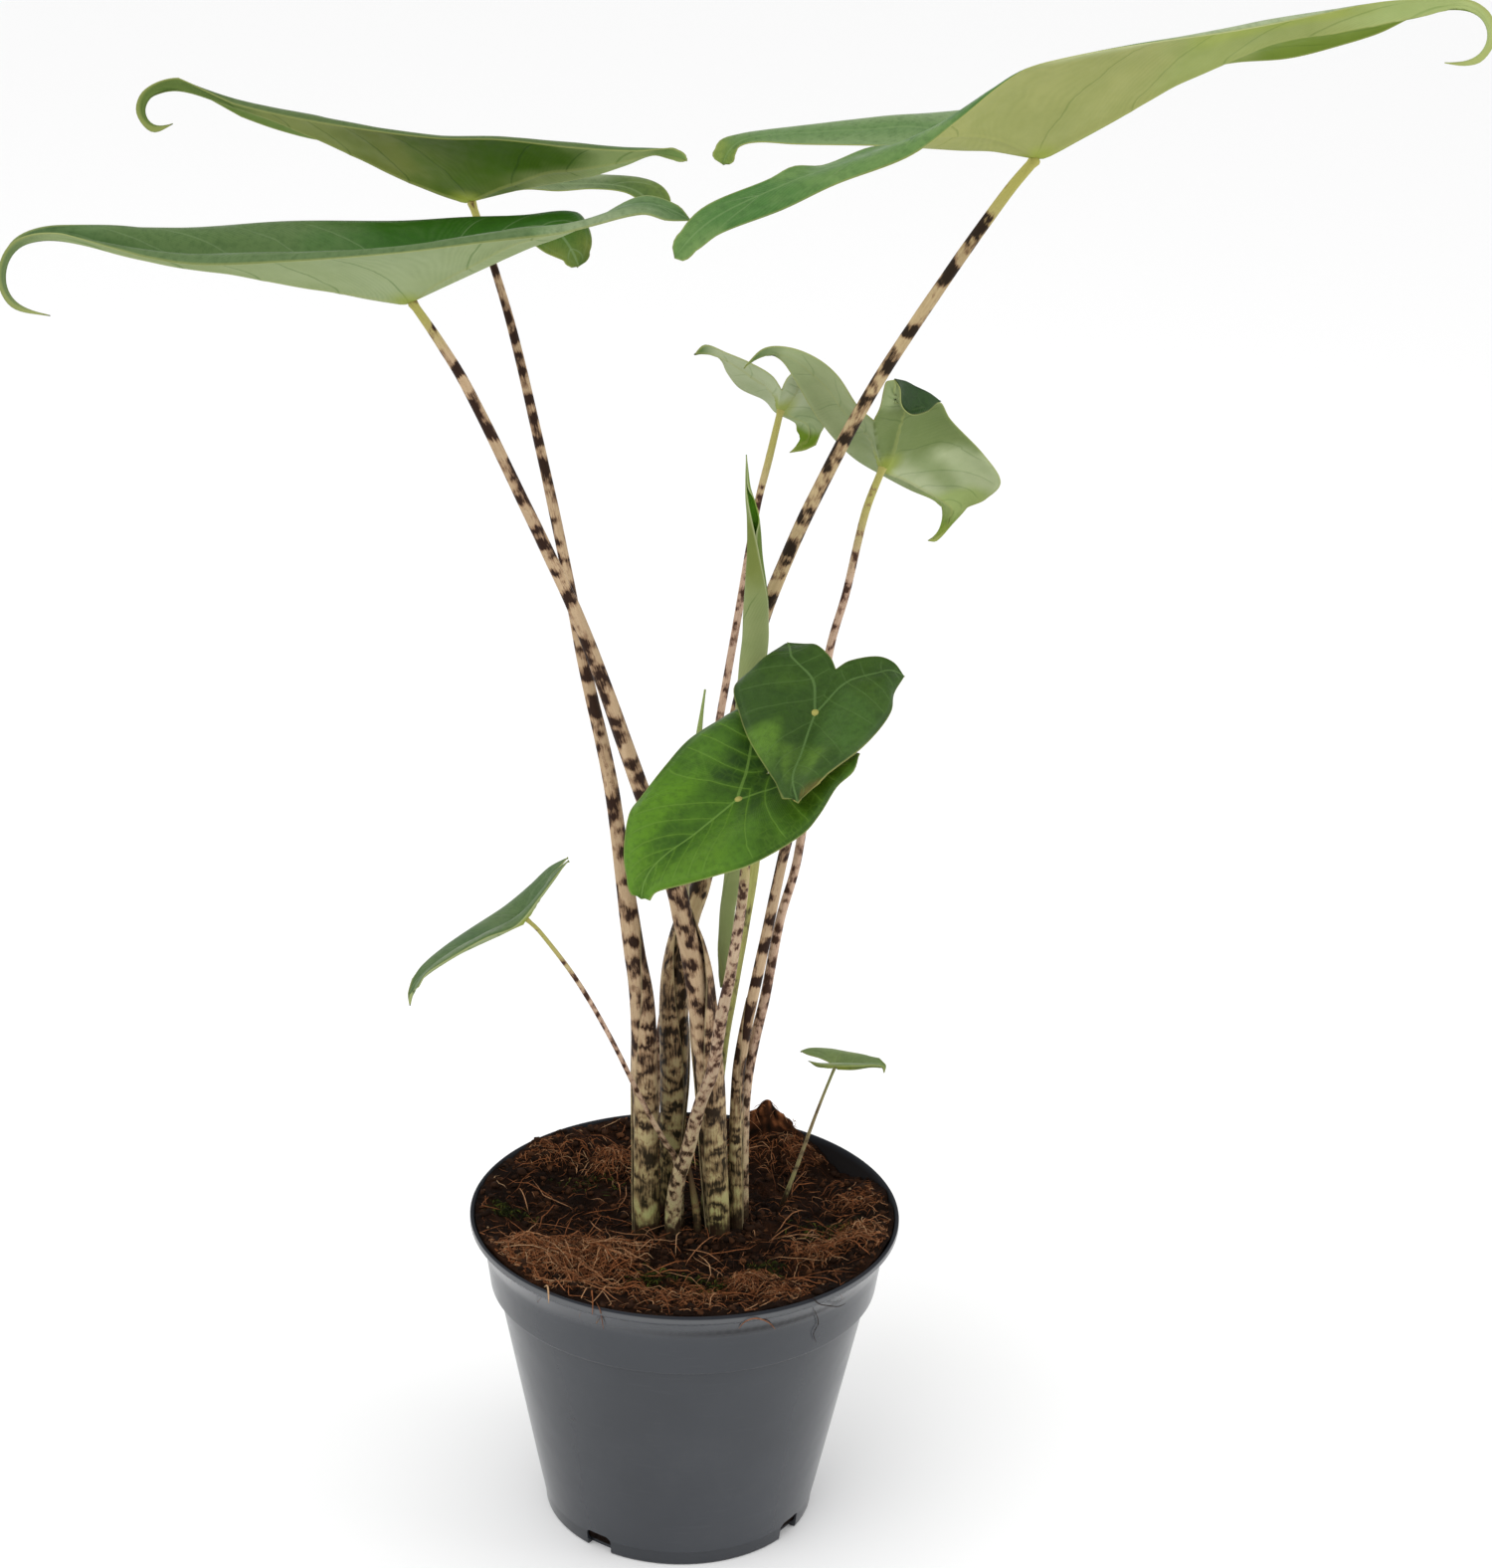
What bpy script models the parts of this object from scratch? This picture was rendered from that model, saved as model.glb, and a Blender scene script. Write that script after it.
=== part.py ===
"""Potted alocasia: a nursery pot filled with soil, with mottled leaf stalks standing in it and an
arrow-shaped blade on each.

Metres, +Z up. The pot stands on z = 0 with its axis on Z, and the plant is seen from -Y.
Sizes below are in millimetres.
"""
import math

import bmesh
import bpy
import numpy as np
from mathutils import Matrix, Vector, noise
from mathutils.bvhtree import BVHTree

MM = 0.001

# the pot: a 17 cm nursery pot with a collar
RIM_R, POT_H = 85.0, 130.0
LIP_H, LIP_OUT = 3.0, 4.4         # the rolled lip: its height, and its reach beyond the collar
COLLAR_H, COLLAR_TAPER = 29.2, 3.6
COLLAR_STEP = 3.0                 # from the collar in to the body
BASE_R, WALL, FLOOR_T = 54.3, 1.3, 1.8
BAND_H, BAND_STEP = 6.5, 0.4      # the shallow step round the foot
NOTCHES, NOTCH_W, NOTCH_H, NOTCH_AT = 4, 10.0, 8.0, -123.7
POT_SIDES = 48

# the soil
GAP = 0.3                         # between pieces that touch
SOIL_TOP, SOIL_LUMP = 122.0, 2.2
CLUMP_AT, CLUMP_R, CLUMP_H = (-46.0, -36.0), (24.0, 13.0), 7.0   # a raised tuft of fibre
HOLE_DEPTH = 12.0
SEED = 11

# the leaves
BLADE_T = 0.9
TURN = 0.6                        # where the notch falls between a blade's tip (0) and its lobe ends (1)
CURL_W = 1.5                      # half width of a curled tip

# Colours are linear.
MOTTLED = (0.42, 0.34, 0.22)          # cream with dark bands, taken together
PINKISH = (0.50, 0.38, 0.28)
GREEN_SHEATH = (0.30, 0.28, 0.14)
YELLOW_GREEN = (0.36, 0.38, 0.12)
SAGE = (0.36, 0.44, 0.23)             # undersides that face the front

# Each blade by the runs of its edges, in mm. mid goes from the notch to the tip, and the stalk joins
# at point number joint. Each half has its outer margin from the tip to the lobe's end, with the point
# number that lies beside the joint, and the inner margin of its lobe from the notch.
BLADES = {
    "blade_left_low": dict(
        colour=SAGE, rows=(17, 11), cols=4, joint=0, camber=3.0,
        mid=[(-102, -25, 496), (-128, -26, 500), (-161, -28, 505), (-194, -30, 510), (-222, -31, 516),
             (-237, -31, 513), (-243, -31, 502), (-240, -30, 492), (-228, -28, 488)],
        left=dict(beside=4, margin=[
            (-221, -32, 515), (-201, -38, 513), (-174, -46, 511), (-140, -56, 515), (-102, -66, 521),
            (-71, -73, 527), (-48, -77, 531), (-38, -79, 534), (-20, -80, 539), (-12, -78, 537),
            (-4, -72, 536)],
            sinus=[(-84, -38, 507), (-59, -56, 522), (-48, -66, 528), (-39, -70, 533), (-21, -69, 543),
                   (-9, -71, 541), (-4, -72, 536)]),
        right=dict(beside=4, margin=[
            (-222, -31, 517), (-204, -22, 518), (-180, -12, 517), (-148, 0, 518), (-111, 12, 517),
            (-87, 18, 518), (-64, 20, 519), (-48, 18, 521), (-43, 14, 516), (-42, 10, 510),
            (-46, 6, 504)],
            sinus=[(-87, -14, 499), (-74, -4, 505), (-64, 0, 511), (-57, 2, 509), (-46, 6, 504)])),
    "blade_left_high": dict(
        colour=(0.14, 0.16, 0.07), rows=(17, 11), cols=4, joint=0, camber=3.0,
        mid=[(-89, 55, 517), (-116, 54, 527), (-142, 53, 538), (-163, 52, 547), (-183, 51, 553),
             (-196, 50, 556), (-206, 50, 553), (-209, 50, 547), (-205, 50, 541), (-198, 51, 543)],
        left=dict(beside=4, margin=[
            (-195, 49, 557), (-175, 43, 552), (-153, 35, 549), (-127, 26, 547), (-97, 16, 546),
            (-75, 11, 547), (-49, 5, 546), (-27, 2, 546), (-17, 2, 547), (-12, 4, 547), (-8, 6, 543)],
            sinus=[(-68, 40, 525), (-43, 24, 533), (-30, 14, 539), (-20, 7, 544), (-13, 5, 543),
                   (-8, 6, 543)]),
        right=dict(beside=5, margin=[
            (-195, 52, 554), (-178, 60, 546), (-162, 68, 539), (-146, 77, 534), (-120, 88, 531),
            (-100, 93, 529), (-70, 92, 524), (-48, 88, 522), (-29, 82, 523), (-20, 78, 521),
            (-16, 75, 516), (-18, 73, 509)],
            sinus=[(-71, 66, 520), (-58, 71, 519), (-45, 72, 520), (-33, 72, 519), (-26, 72, 515),
                   (-18, 73, 509)])),
    "blade_right_high": dict(
        colour=(0.38, 0.45, 0.20), rows=(19, 13), cols=4, joint=0, camber=3.0,
        mid=[(114, 0, 548), (143, 0, 565), (163, -1, 577), (180, -2, 586), (196, -3, 592),
             (216, -4, 596), (239, -5, 601), (256, -6, 605), (264, -6, 602), (267, -6, 595),
             (264, -6, 588), (259, -6, 586), (252, -5, 586)],
        left=dict(beside=8, margin=[
            (256, -5, 604), (241, -3, 600), (231, 0, 595), (219, 4, 590), (201, 9, 584), (182, 15, 581),
            (163, 24, 575), (146, 31, 571), (123, 39, 567), (105, 43, 561), (91, 45, 557), (58, 46, 553),
            (35, 44, 550), (19, 42, 548), (10, 40, 547), (3, 38, 545), (1, 36, 541), (4, 34, 537)],
            sinus=[(95, 10, 549), (76, 18, 548), (56, 24, 547), (30, 28, 546), (17, 30, 546),
                   (10, 32, 544), (8, 33, 540), (4, 34, 537)]),
        right=dict(beside=5, margin=[
            (255, -7, 606), (228, -11, 606), (205, -18, 602), (176, -27, 597), (138, -38, 592),
            (116, -44, 588), (105, -48, 585), (95, -54, 579), (83, -62, 570), (67, -70, 559),
            (43, -76, 550), (26, -80, 542), (6, -82, 534), (-2, -82, 528), (-9, -80, 525)],
            sinus=[(99, -12, 552), (86, -24, 554), (70, -40, 557), (55, -54, 559), (39, -63, 554),
                   (29, -67, 554), (21, -70, 550), (1, -76, 542), (-7, -79, 534), (-9, -80, 525)])),
    "blade_right_mid": dict(
        colour=SAGE, rows=(13, 9), cols=3, joint=1, camber=3.0,
        mid=[(62, 18, 448), (67, 40, 425), (74, 52, 419), (83, 66, 411), (91, 78, 404), (97, 88, 396),
             (95, 92, 388), (91, 92, 382), (88, 91, 382)],
        left=dict(beside=4, margin=[
            (94, 92, 395), (90, 92, 398), (80, 88, 403), (68, 80, 411), (56, 68, 421), (47, 50, 434),
            (39, 35, 448), (32, 24, 462), (27, 17, 470), (21, 11, 473), (14, 6, 469)],
            sinus=[(56, 18, 453), (48, 15, 465), (40, 12, 472), (30, 10, 476), (21, 7, 476),
                   (14, 6, 469)]),
        right=dict(beside=4, margin=[
            (101, 88, 397), (109, 82, 402), (114, 74, 411), (106, 62, 425), (92, 46, 442), (87, 36, 451),
            (82, 26, 450), (76, 20, 450), (72, 17, 454), (71, 15, 461), (69, 16, 464)],
            sinus=[(64, 14, 454), (65, 12, 461), (66, 13, 464), (69, 16, 464)])),
    "blade_back_small": dict(
        colour=SAGE, rows=(11, 8), cols=3, joint=1, camber=2.0,
        mid=[(28, 48, 451), (28, 60, 441), (33, 72, 436), (39, 84, 430), (40, 90, 424), (37, 92, 418),
             (32, 91, 416)],
        left=dict(beside=3, margin=[
            (36, 91, 424), (34, 90, 428), (26, 82, 434), (21, 74, 441), (12, 62, 448), (7, 54, 456),
            (5, 48, 462), (1, 45, 465), (-5, 42, 465)],
            sinus=[(24, 46, 457), (16, 44, 462), (7, 42, 466), (-1, 41, 469), (-5, 42, 465)]),
        right=dict(beside=3, margin=[
            (41, 92, 420), (45, 88, 427), (46, 80, 435), (43, 70, 443), (39, 58, 451), (35, 52, 456),
            (32, 49, 458)],
            sinus=[(29, 47, 454), (30, 47, 456), (32, 49, 458)])),
    "blade_front_low": dict(
        colour=(0.085, 0.215, 0.035), rows=(12, 8), cols=3, joint=1, camber=3.0,
        mid=[(27, -40, 330), (17, -50, 324), (2, -64, 316), (-11, -76, 309), (-15, -82, 304),
             (-16, -84, 298)],
        left=dict(beside=3, margin=[
            (-11, -87, 302), (0, -88, 306), (10, -87, 309), (24, -83, 313), (40, -73, 320),
            (46, -66, 325), (52, -56, 332), (58, -50, 336), (60, -45, 341)],
            sinus=[(37, -39, 335), (50, -39, 339), (60, -45, 341)]),
        right=dict(beside=4, margin=[
            (-20, -80, 301), (-23, -71, 309), (-22, -59, 320), (-18, -51, 324), (-10, -40, 332),
            (-2, -31, 339), (8, -24, 344), (17, -19, 348), (24, -17, 348)],
            sinus=[(28, -32, 338), (28, -24, 345), (24, -17, 348)])),
    "blade_front_heart": dict(
        colour=(0.055, 0.150, 0.030), rows=(12, 8), cols=3, joint=1, camber=3.0,
        mid=[(51, -16, 363), (44, -30, 351), (39, -48, 342), (36, -64, 338), (38, -76, 333)],
        left=dict(beside=3, margin=[
            (44, -74, 340), (52, -64, 343), (60, -54, 346), (67, -43, 350), (71, -35, 354),
            (72, -27, 358), (76, -19, 362)],
            sinus=[(56, -12, 365), (66, -9, 366), (72, -12, 365), (76, -19, 362)]),
        right=dict(beside=3, margin=[
            (34, -71, 333), (27, -57, 338), (20, -42, 344), (16, -29, 350), (14, -20, 356),
            (20, -12, 360), (26, -6, 364), (33, -2, 368)],
            sinus=[(49, -12, 366), (44, -7, 369), (39, -3, 368), (33, -2, 368)])),
    "blade_left_small": dict(
        colour=(0.045, 0.130, 0.035), rows=(9, 6), cols=3, joint=0, camber=2.0,
        mid=[(-59, -56, 277), (-68, -62, 275), (-80, -68, 271), (-89, -72, 266), (-96, -75, 261),
             (-99, -77, 256), (-99, -78, 251)],
        left=dict(beside=4, margin=[
            (-96, -82, 261), (-92, -85, 267), (-82, -87, 275), (-71, -84, 281), (-61, -77, 283),
            (-53, -66, 290), (-48, -58, 295), (-44, -50, 298)],
            sinus=[(-53, -54, 287), (-50, -52, 293), (-44, -50, 298)]),
        right=dict(beside=4, margin=[
            (-98, -74, 259), (-95, -68, 263), (-89, -60, 266), (-78, -50, 271), (-68, -43, 276),
            (-59, -39, 283), (-52, -38, 290), (-45, -40, 295)],
            sinus=[(-55, -51, 283), (-51, -46, 289), (-45, -40, 295)])),
    "blade_right_small": dict(
        colour=(0.075, 0.180, 0.055), rows=(7, 5), cols=3, joint=0, camber=1.5,
        mid=[(58, 20, 185), (65, 18, 186), (72, 16, 188), (77, 15, 188), (77, 15, 185)],
        left=dict(beside=3, margin=[
            (75, 18, 189), (70, 24, 188), (62, 29, 187), (56, 31, 187), (48, 31, 187), (44, 30, 186)],
            sinus=[(52, 24, 186), (47, 27, 186), (44, 30, 186)]),
        right=dict(beside=3, margin=[
            (75, 12, 190), (69, 6, 192), (61, 3, 193), (57, 4, 192), (53, 8, 190), (50, 12, 192)],
            sinus=[(55, 15, 187), (52, 13, 190), (50, 12, 192)])),
}

# Each stalk from its foot in the soil to the blade that it carries: (x, y, z, radius) in mm. The lower
# part is as thick as the sheath that wraps it.
STALKS = {
    "stalk_left_low": ("blade_left_low", MOTTLED, [
        (13.6, -8, 122, 4.7), (12, -8, 141, 5.2), (10.4, -8, 163, 5.6), (8.6, -8, 189, 5.9),
        (6.7, -9, 206, 6.0), (4.6, -10, 224, 6.0), (2.8, -11, 237, 5.9), (0.2, -12, 249, 5.4),
        (-2.8, -12.5, 259, 4.6), (-6, -13, 273, 3.8), (-22, -16, 320, 3.2), (-42, -19, 377, 2.6),
        (-63, -22, 424, 2.2), (-83, -24, 466, 1.9), (-93, -25, 483, 1.7), (-102, -25, 496, 1.5)]),
    "stalk_left_high": ("blade_left_high", MOTTLED, [
        (-14.9, -6, 122, 5.6), (-15.6, -6, 139, 5.5), (-16.2, -5, 160, 5.3), (-17, -4, 186, 5.4),
        (-17.6, -3, 200, 5.4), (-19, -1, 221, 5.1), (-22, 0, 240, 4.3), (-28, 4, 281, 3.1),
        (-33, 9, 310, 2.8), (-43, 16, 350, 2.4), (-52, 25, 391, 2.1), (-62, 35, 431, 1.9),
        (-72, 45, 468, 1.7), (-79, 50, 490, 1.5), (-89, 55, 517, 1.4)]),
    "stalk_right_high": ("blade_right_high", GREEN_SHEATH, [
        (-5.4, 9, 122, 4.4), (-5.9, 9, 158, 4.9), (-5.3, 9, 180, 5.7), (-5.5, 9, 197, 6.1),
        (-6, 10, 214, 6.1), (-5.2, 12, 230, 6.0), (-2.4, 14, 246, 5.2), (3, 15, 264, 4.0),
        (14, 16, 327, 3.0), (22, 15, 366, 2.8), (32, 12, 397, 2.6), (44, 8, 427, 2.6),
        (61, 6, 463, 2.4), (86, 3, 506, 2.2), (105, 1, 536, 2.0), (114, 0, 548, 1.8)]),
    "stalk_right_mid": ("blade_right_mid", PINKISH, [
        (22.5, 6, 122, 3.0), (21.8, 6, 162, 2.7), (22.8, 5.5, 183, 2.3), (25.4, 6, 201, 2.1),
        (29, 8, 219, 2.0), (34, 12, 251, 1.8), (40, 18, 275, 1.7), (49, 31, 352, 1.6),
        (55, 35, 377, 1.5), (61, 39, 407, 1.5), (67, 40, 425, 1.4)]),
    "stalk_back_small": ("blade_back_small", PINKISH, [
        (-16, 14, 122, 2.9), (-12, 20, 191, 2.2), (-6, 24, 232, 1.9), (1, 29, 275, 1.6),
        (9, 36, 330, 1.5), (14, 44, 363, 1.5), (20, 53, 404, 1.4), (24, 57, 422, 1.4),
        (28, 60, 441, 1.3)]),
    "stalk_front_low": ("blade_front_low", PINKISH, [
        (-4.4, -11, 122, 3.2), (-4.3, -11.5, 136, 3.2), (-2.6, -14, 151, 3.1), (1, -17, 165, 2.8),
        (5.4, -23, 188, 2.5), (9.9, -29, 205, 2.4), (13, -35, 232, 2.3), (16, -40, 252, 2.1),
        (20, -48, 296, 1.8), (17, -50, 324, 1.5)]),
    "stalk_front_heart": ("blade_front_heart", MOTTLED, [
        (20.5, -1, 122, 3.0), (19.6, -1, 165, 2.8), (19.8, -1.5, 190, 2.6), (21.4, -3, 206, 2.5),
        (24, -6, 224, 2.3), (29, -12, 256, 2.1), (34, -20, 290, 2.0), (40, -26, 321, 1.9),
        (44, -30, 351, 1.6)]),
    "stalk_left_small": ("blade_left_small", PINKISH, [
        (-1, -3, 122, 1.4), (-2.4, -6, 145, 1.3), (-4.6, -9, 158, 1.2), (-8, -12, 165, 1.1),
        (-17, -17, 185, 1.0), (-29, -32, 219, 0.9), (-41, -45, 248, 0.9), (-54, -54, 271, 0.8),
        (-59, -56, 277, 0.8)]),
    "stalk_right_small": ("blade_right_small", PINKISH, [
        (38.8, 20, 122, 1.4), (42.4, 20, 134, 1.2), (46, 20, 146, 1.1), (50, 20, 160, 1.0),
        (54, 20, 173, 0.8), (58, 20, 185, 0.7)]),
    "stalk_rolled": ("blade_rolled", YELLOW_GREEN, [
        (9, 11, 122, 3.0), (10, 8, 160, 2.7), (13, 3.5, 200, 2.4), (16, -2, 225, 2.3),
        (20, -7, 255, 2.1), (23.5, -8.5, 285, 2.0), (23, -7, 300, 1.9), (20, -1, 312, 1.7)]),
}
STALK_SIDES = 2                   # bevel resolution: 8 sides
STALK_STEP = 14.0                 # length of stalk between rings

# the rolled young blade: (x, y, z, radius, degrees of the roll that the sheet fills)
ROLL = [(16, -6, 439, 1.0, 40), (17, -5, 426, 1.4, 120), (19, -4, 415, 2.0, 220), (20, -2, 400, 3.0, 280),
        (21, 0, 381, 4.6, 300), (21, 2, 366, 4.9, 310), (20, 2, 350, 4.9, 310), (19, 2, 327, 4.8, 310),
        (18, 2, 303, 4.4, 300), (16, 2, 279, 3.4, 280), (14, 2, 261, 3.1, 250), (13, 2, 244, 2.8, 200),
        (12, 2, 226, 1.2, 60)]
ROLL_SAGE = (0.30, 0.37, 0.19)
ROLL_OPEN = (-35.0, 40.0)         # compass angle of the open side at the tip, and at the lobes

SPEAR = [(10, 3.5, 122, 2.2), (8, 2.5, 160, 2.2), (5, 1.5, 200, 2.1), (1, 0, 240, 2.0),
         (-3, -0.5, 265, 1.9), (-1, -1, 290, 1.7), (0, -1, 306, 1.6), (1, -2, 329, 1.2),
         (2, -3, 340, 0.7), (3, -3, 349, 0.35)]
SPEAR_GREEN = (0.32, 0.42, 0.16)
STUB = [(5.9, -10, 122, 1.6), (4.8, -9.5, 133, 1.6), (3.2, -9, 143, 1.3), (1.2, -8.5, 154, 0.7)]
STUB_BROWN = (0.055, 0.032, 0.020)


def clear_scene():
    for item in list(bpy.data.objects):
        bpy.data.objects.remove(item, do_unlink=True)


def material(name, colour, roughness, metallic=0.0):
    mat = bpy.data.materials.new(name)
    mat.use_nodes = True
    shader = mat.node_tree.nodes["Principled BSDF"]
    shader.inputs["Base Color"].default_value = (*colour, 1.0)
    shader.inputs["Roughness"].default_value = roughness
    shader.inputs["Metallic"].default_value = metallic
    mat.diffuse_color = (*colour, 1.0)
    return mat


def add_object(name, bm, mat, origin=(0.0, 0.0, 0.0)):
    bmesh.ops.translate(bm, verts=bm.verts, vec=-Vector(origin))
    mesh = bpy.data.meshes.new(name)
    bm.to_mesh(mesh)
    bm.free()
    mesh.materials.append(mat)
    obj = bpy.data.objects.new(name, mesh)
    obj.location = origin
    bpy.context.collection.objects.link(obj)
    return obj


def hide_cutter(obj):
    obj.hide_render = True
    obj.display_type = "WIRE"
    return obj


def cut(obj, cutter):
    mod = obj.modifiers.new("cut", "BOOLEAN")
    mod.operation = "DIFFERENCE"
    mod.solver = "EXACT"
    mod.object = cutter


def spin_profile(profile, sides):
    """A closed solid of revolution round Z from (radius, height) points in mm, from axis to axis."""
    bm = bmesh.new()
    verts = [bm.verts.new((r * MM, 0.0, z * MM)) for r, z in profile]
    edges = [bm.edges.new(pair) for pair in zip(verts, verts[1:])]
    bmesh.ops.spin(bm, geom=verts + edges, cent=(0, 0, 0), axis=(0, 0, 1), angle=math.tau, steps=sides,
                   use_merge=False)
    bmesh.ops.remove_doubles(bm, verts=bm.verts, dist=1e-6)
    bmesh.ops.recalc_face_normals(bm, faces=bm.faces)
    return bm


# ---- pot and soil

def collar_bottom():
    return RIM_R - LIP_OUT - COLLAR_TAPER, POT_H - COLLAR_H


def inner_wall():
    """The pot's inside from floor to rim as (radius, height)."""
    low_r, low_z = collar_bottom()
    return [(BASE_R - WALL - 0.8, FLOOR_T), (BASE_R - WALL + 0.4, FLOOR_T + 1.4),
            (low_r - COLLAR_STEP - WALL, low_z), (low_r - WALL, low_z + 1.6),
            (RIM_R - LIP_OUT - WALL, POT_H - LIP_H), (RIM_R - LIP_OUT + 0.6, POT_H - 0.8)]


def build_pot(mat):
    low_r, low_z = collar_bottom()
    body_r = low_r - COLLAR_STEP
    profile = [(0, 0), (BASE_R - 1.0, 0), (BASE_R, 1.0), (BASE_R + 0.5, BAND_H - 0.3),
               (BASE_R + 0.5 + BAND_STEP, BAND_H + 0.3), (body_r, low_z - 0.6), (low_r - 0.4, low_z),
               (low_r, low_z + 0.5), (RIM_R - LIP_OUT, POT_H - LIP_H), (RIM_R - 0.6, POT_H - LIP_H),
               (RIM_R, POT_H - LIP_H + 0.7), (RIM_R, POT_H - 0.6), (RIM_R - 0.6, POT_H),
               (RIM_R - LIP_OUT + 1.6, POT_H)]
    profile += inner_wall()[::-1] + [(0, FLOOR_T)]
    pot = add_object("pot", spin_profile(profile, POT_SIDES), mat)
    bm = bmesh.new()
    for k in range(NOTCHES):
        turn = math.radians(NOTCH_AT + k * 360.0 / NOTCHES)
        made = bmesh.ops.create_cube(bm, size=1.0)["verts"]
        bmesh.ops.scale(bm, verts=made, vec=(14 * MM, NOTCH_W * MM, 2 * NOTCH_H * MM))
        bmesh.ops.translate(bm, verts=made, vec=((BASE_R + 3.5) * MM, 0, 0))
        bmesh.ops.rotate(bm, verts=made, cent=(0, 0, 0), matrix=Matrix.Rotation(turn, 3, "Z"))
    cutter = hide_cutter(add_object("pot_notch_cutter", bm, mat))
    cut(pot, cutter)
    return pot


def soil_height(x, y):
    """Height of the soil in mm: small lumps, and one raised tuft of fibre."""
    lump = noise.noise(Vector((x / 17.0, y / 17.0, SEED))) + 0.5 * noise.noise(
        Vector((x / 7.0, y / 7.0, SEED + 5)))
    tuft = ((x - CLUMP_AT[0]) / CLUMP_R[0]) ** 2 + ((y - CLUMP_AT[1]) / CLUMP_R[1]) ** 2
    return SOIL_TOP + SOIL_LUMP * lump + CLUMP_H * math.exp(-tuft)


def build_soil(mat, feet):
    wall = [(r - GAP - 0.15, z + GAP) for r, z in inner_wall()[:4]]
    top_r, top_z = inner_wall()[4]
    share = (SOIL_TOP - 4.0 - wall[3][1]) / (top_z - wall[3][1])
    wall.append((wall[3][0] + (top_r - GAP - wall[3][0]) * share - 0.3, SOIL_TOP - 4.0))
    edge = wall[-1][0]
    rings = [(edge * k, SOIL_TOP) for k in (0.985, 0.9, 0.8, 0.7, 0.6, 0.5, 0.4, 0.3, 0.2, 0.1, 0.0)]
    bm = spin_profile([(0, FLOOR_T + GAP)] + wall + rings, POT_SIDES)
    for v in bm.verts:
        if v.co.z > (SOIL_TOP - 0.1) * MM:
            v.co.z = soil_height(v.co.x / MM, v.co.y / MM) * MM
    soil = add_object("soil", bm, mat)
    bm = bmesh.new()
    for x, y, r in feet:
        made = bmesh.ops.create_cone(bm, cap_ends=True, segments=12, radius1=(r + 0.6) * MM,
                                     radius2=(r + 0.6) * MM, depth=40 * MM)["verts"]
        bmesh.ops.translate(bm, verts=made, vec=(x * MM, y * MM, (SOIL_TOP - HOLE_DEPTH + 20) * MM))
    cutter = hide_cutter(add_object("soil_hole_cutter", bm, mat))
    cut(soil, cutter)
    return soil


# ---- blades

def spline(points, knots, at):
    """A smooth run through the points, read at the given places between the knots."""
    slope = np.zeros_like(points)
    slope[1:-1] = (points[2:] - points[:-2]) / (knots[2:] - knots[:-2])[:, None]
    slope[0] = (points[1] - points[0]) / (knots[1] - knots[0])
    slope[-1] = (points[-1] - points[-2]) / (knots[-1] - knots[-2])
    i = np.clip(np.searchsorted(knots, at, side="right") - 1, 0, len(knots) - 2)
    h = (knots[i + 1] - knots[i])[:, None]
    t = (at - knots[i])[:, None] / h
    return ((2 * t**3 - 3 * t**2 + 1) * points[i] + (t**3 - 2 * t**2 + t) * h * slope[i]
            + (-2 * t**3 + 3 * t**2) * points[i + 1] + (t**3 - t**2) * h * slope[i + 1])


def knots_of(points, start, end):
    steps = np.linalg.norm(np.diff(points, axis=0), axis=1) ** 0.75
    run = np.concatenate([[0.0], np.cumsum(steps)])
    return start + (end - start) * run / run[-1]


def unit(v):
    return v / max(np.linalg.norm(v), 1e-9)


def half_blade(leaf, half, side, us, vs):
    """One half of a blade: a grid of points from its midrib and inner margin out to its margin."""
    mid = np.array(leaf["mid"], float)
    margin = np.array(half["margin"], float)
    sinus = np.vstack([mid[:1], np.array(half["sinus"], float)])
    rib = mid[::-1]
    rib_k = knots_of(rib, 0.0, TURN)
    sinus_k = knots_of(sinus, TURN, 1.0)
    inner = np.where((us <= TURN)[:, None], spline(rib, rib_k, np.minimum(us, TURN)),
                     spline(sinus, sinus_k, np.maximum(us, TURN)))
    start = us[np.argmin(np.linalg.norm(inner - margin[0], axis=1) + (us > TURN) * 1e3)]
    start = max(start, 0.02)
    beside = half["beside"]
    margin_k = np.concatenate([knots_of(margin[:beside + 1], start, TURN),
                               knots_of(margin[beside:], TURN, 1.0)[1:]])
    outer = spline(margin, margin_k, np.maximum(us, start))
    across = unit(np.cross([0, 0, 1.0], mid[leaf["joint"] + 1] - mid[leaf["joint"]]))
    reach = margin[0] - spline(rib, rib_k, np.array([start]))[0]
    for k in np.where(us < start)[0]:            # the curled tip, a narrow strip
        w = us[k] / start
        near = spline(rib, rib_k, np.clip(np.array([us[k] - 0.01, us[k] + 0.01]), 0, TURN))
        along = unit(near[0] - near[1])
        strip = unit(across - along * (across @ along)) * side
        outer[k] = inner[k] + strip * CURL_W * w**0.7 * (1 - w**3) + reach * w**3
    chord = outer - inner
    along = np.gradient(inner, axis=0)
    along = -along / np.maximum(np.linalg.norm(along, axis=1), 1e-9)[:, None]
    edge = np.gradient(outer, axis=0)
    along -= edge / np.maximum(np.linalg.norm(edge, axis=1), 1e-9)[:, None]
    normal = np.cross(along, chord) * side
    normal /= np.maximum(np.linalg.norm(normal, axis=1), 1e-9)[:, None]
    for k in range(1, len(us)):
        if normal[k] @ normal[k - 1] < -0.2:
            normal[k] = -normal[k]
    rise = leaf["camber"] * np.minimum(1, np.linalg.norm(chord, axis=1) / 25) * np.minimum(
        1, (1 - us) / 0.08)
    bulge = 6.75 * vs**2 * (1 - vs)
    return (inner[:, None] * (1 - vs)[None, :, None] + outer[:, None] * vs[None, :, None]
            + normal[:, None] * (rise[:, None] * bulge[None, :])[..., None]) * MM


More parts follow.
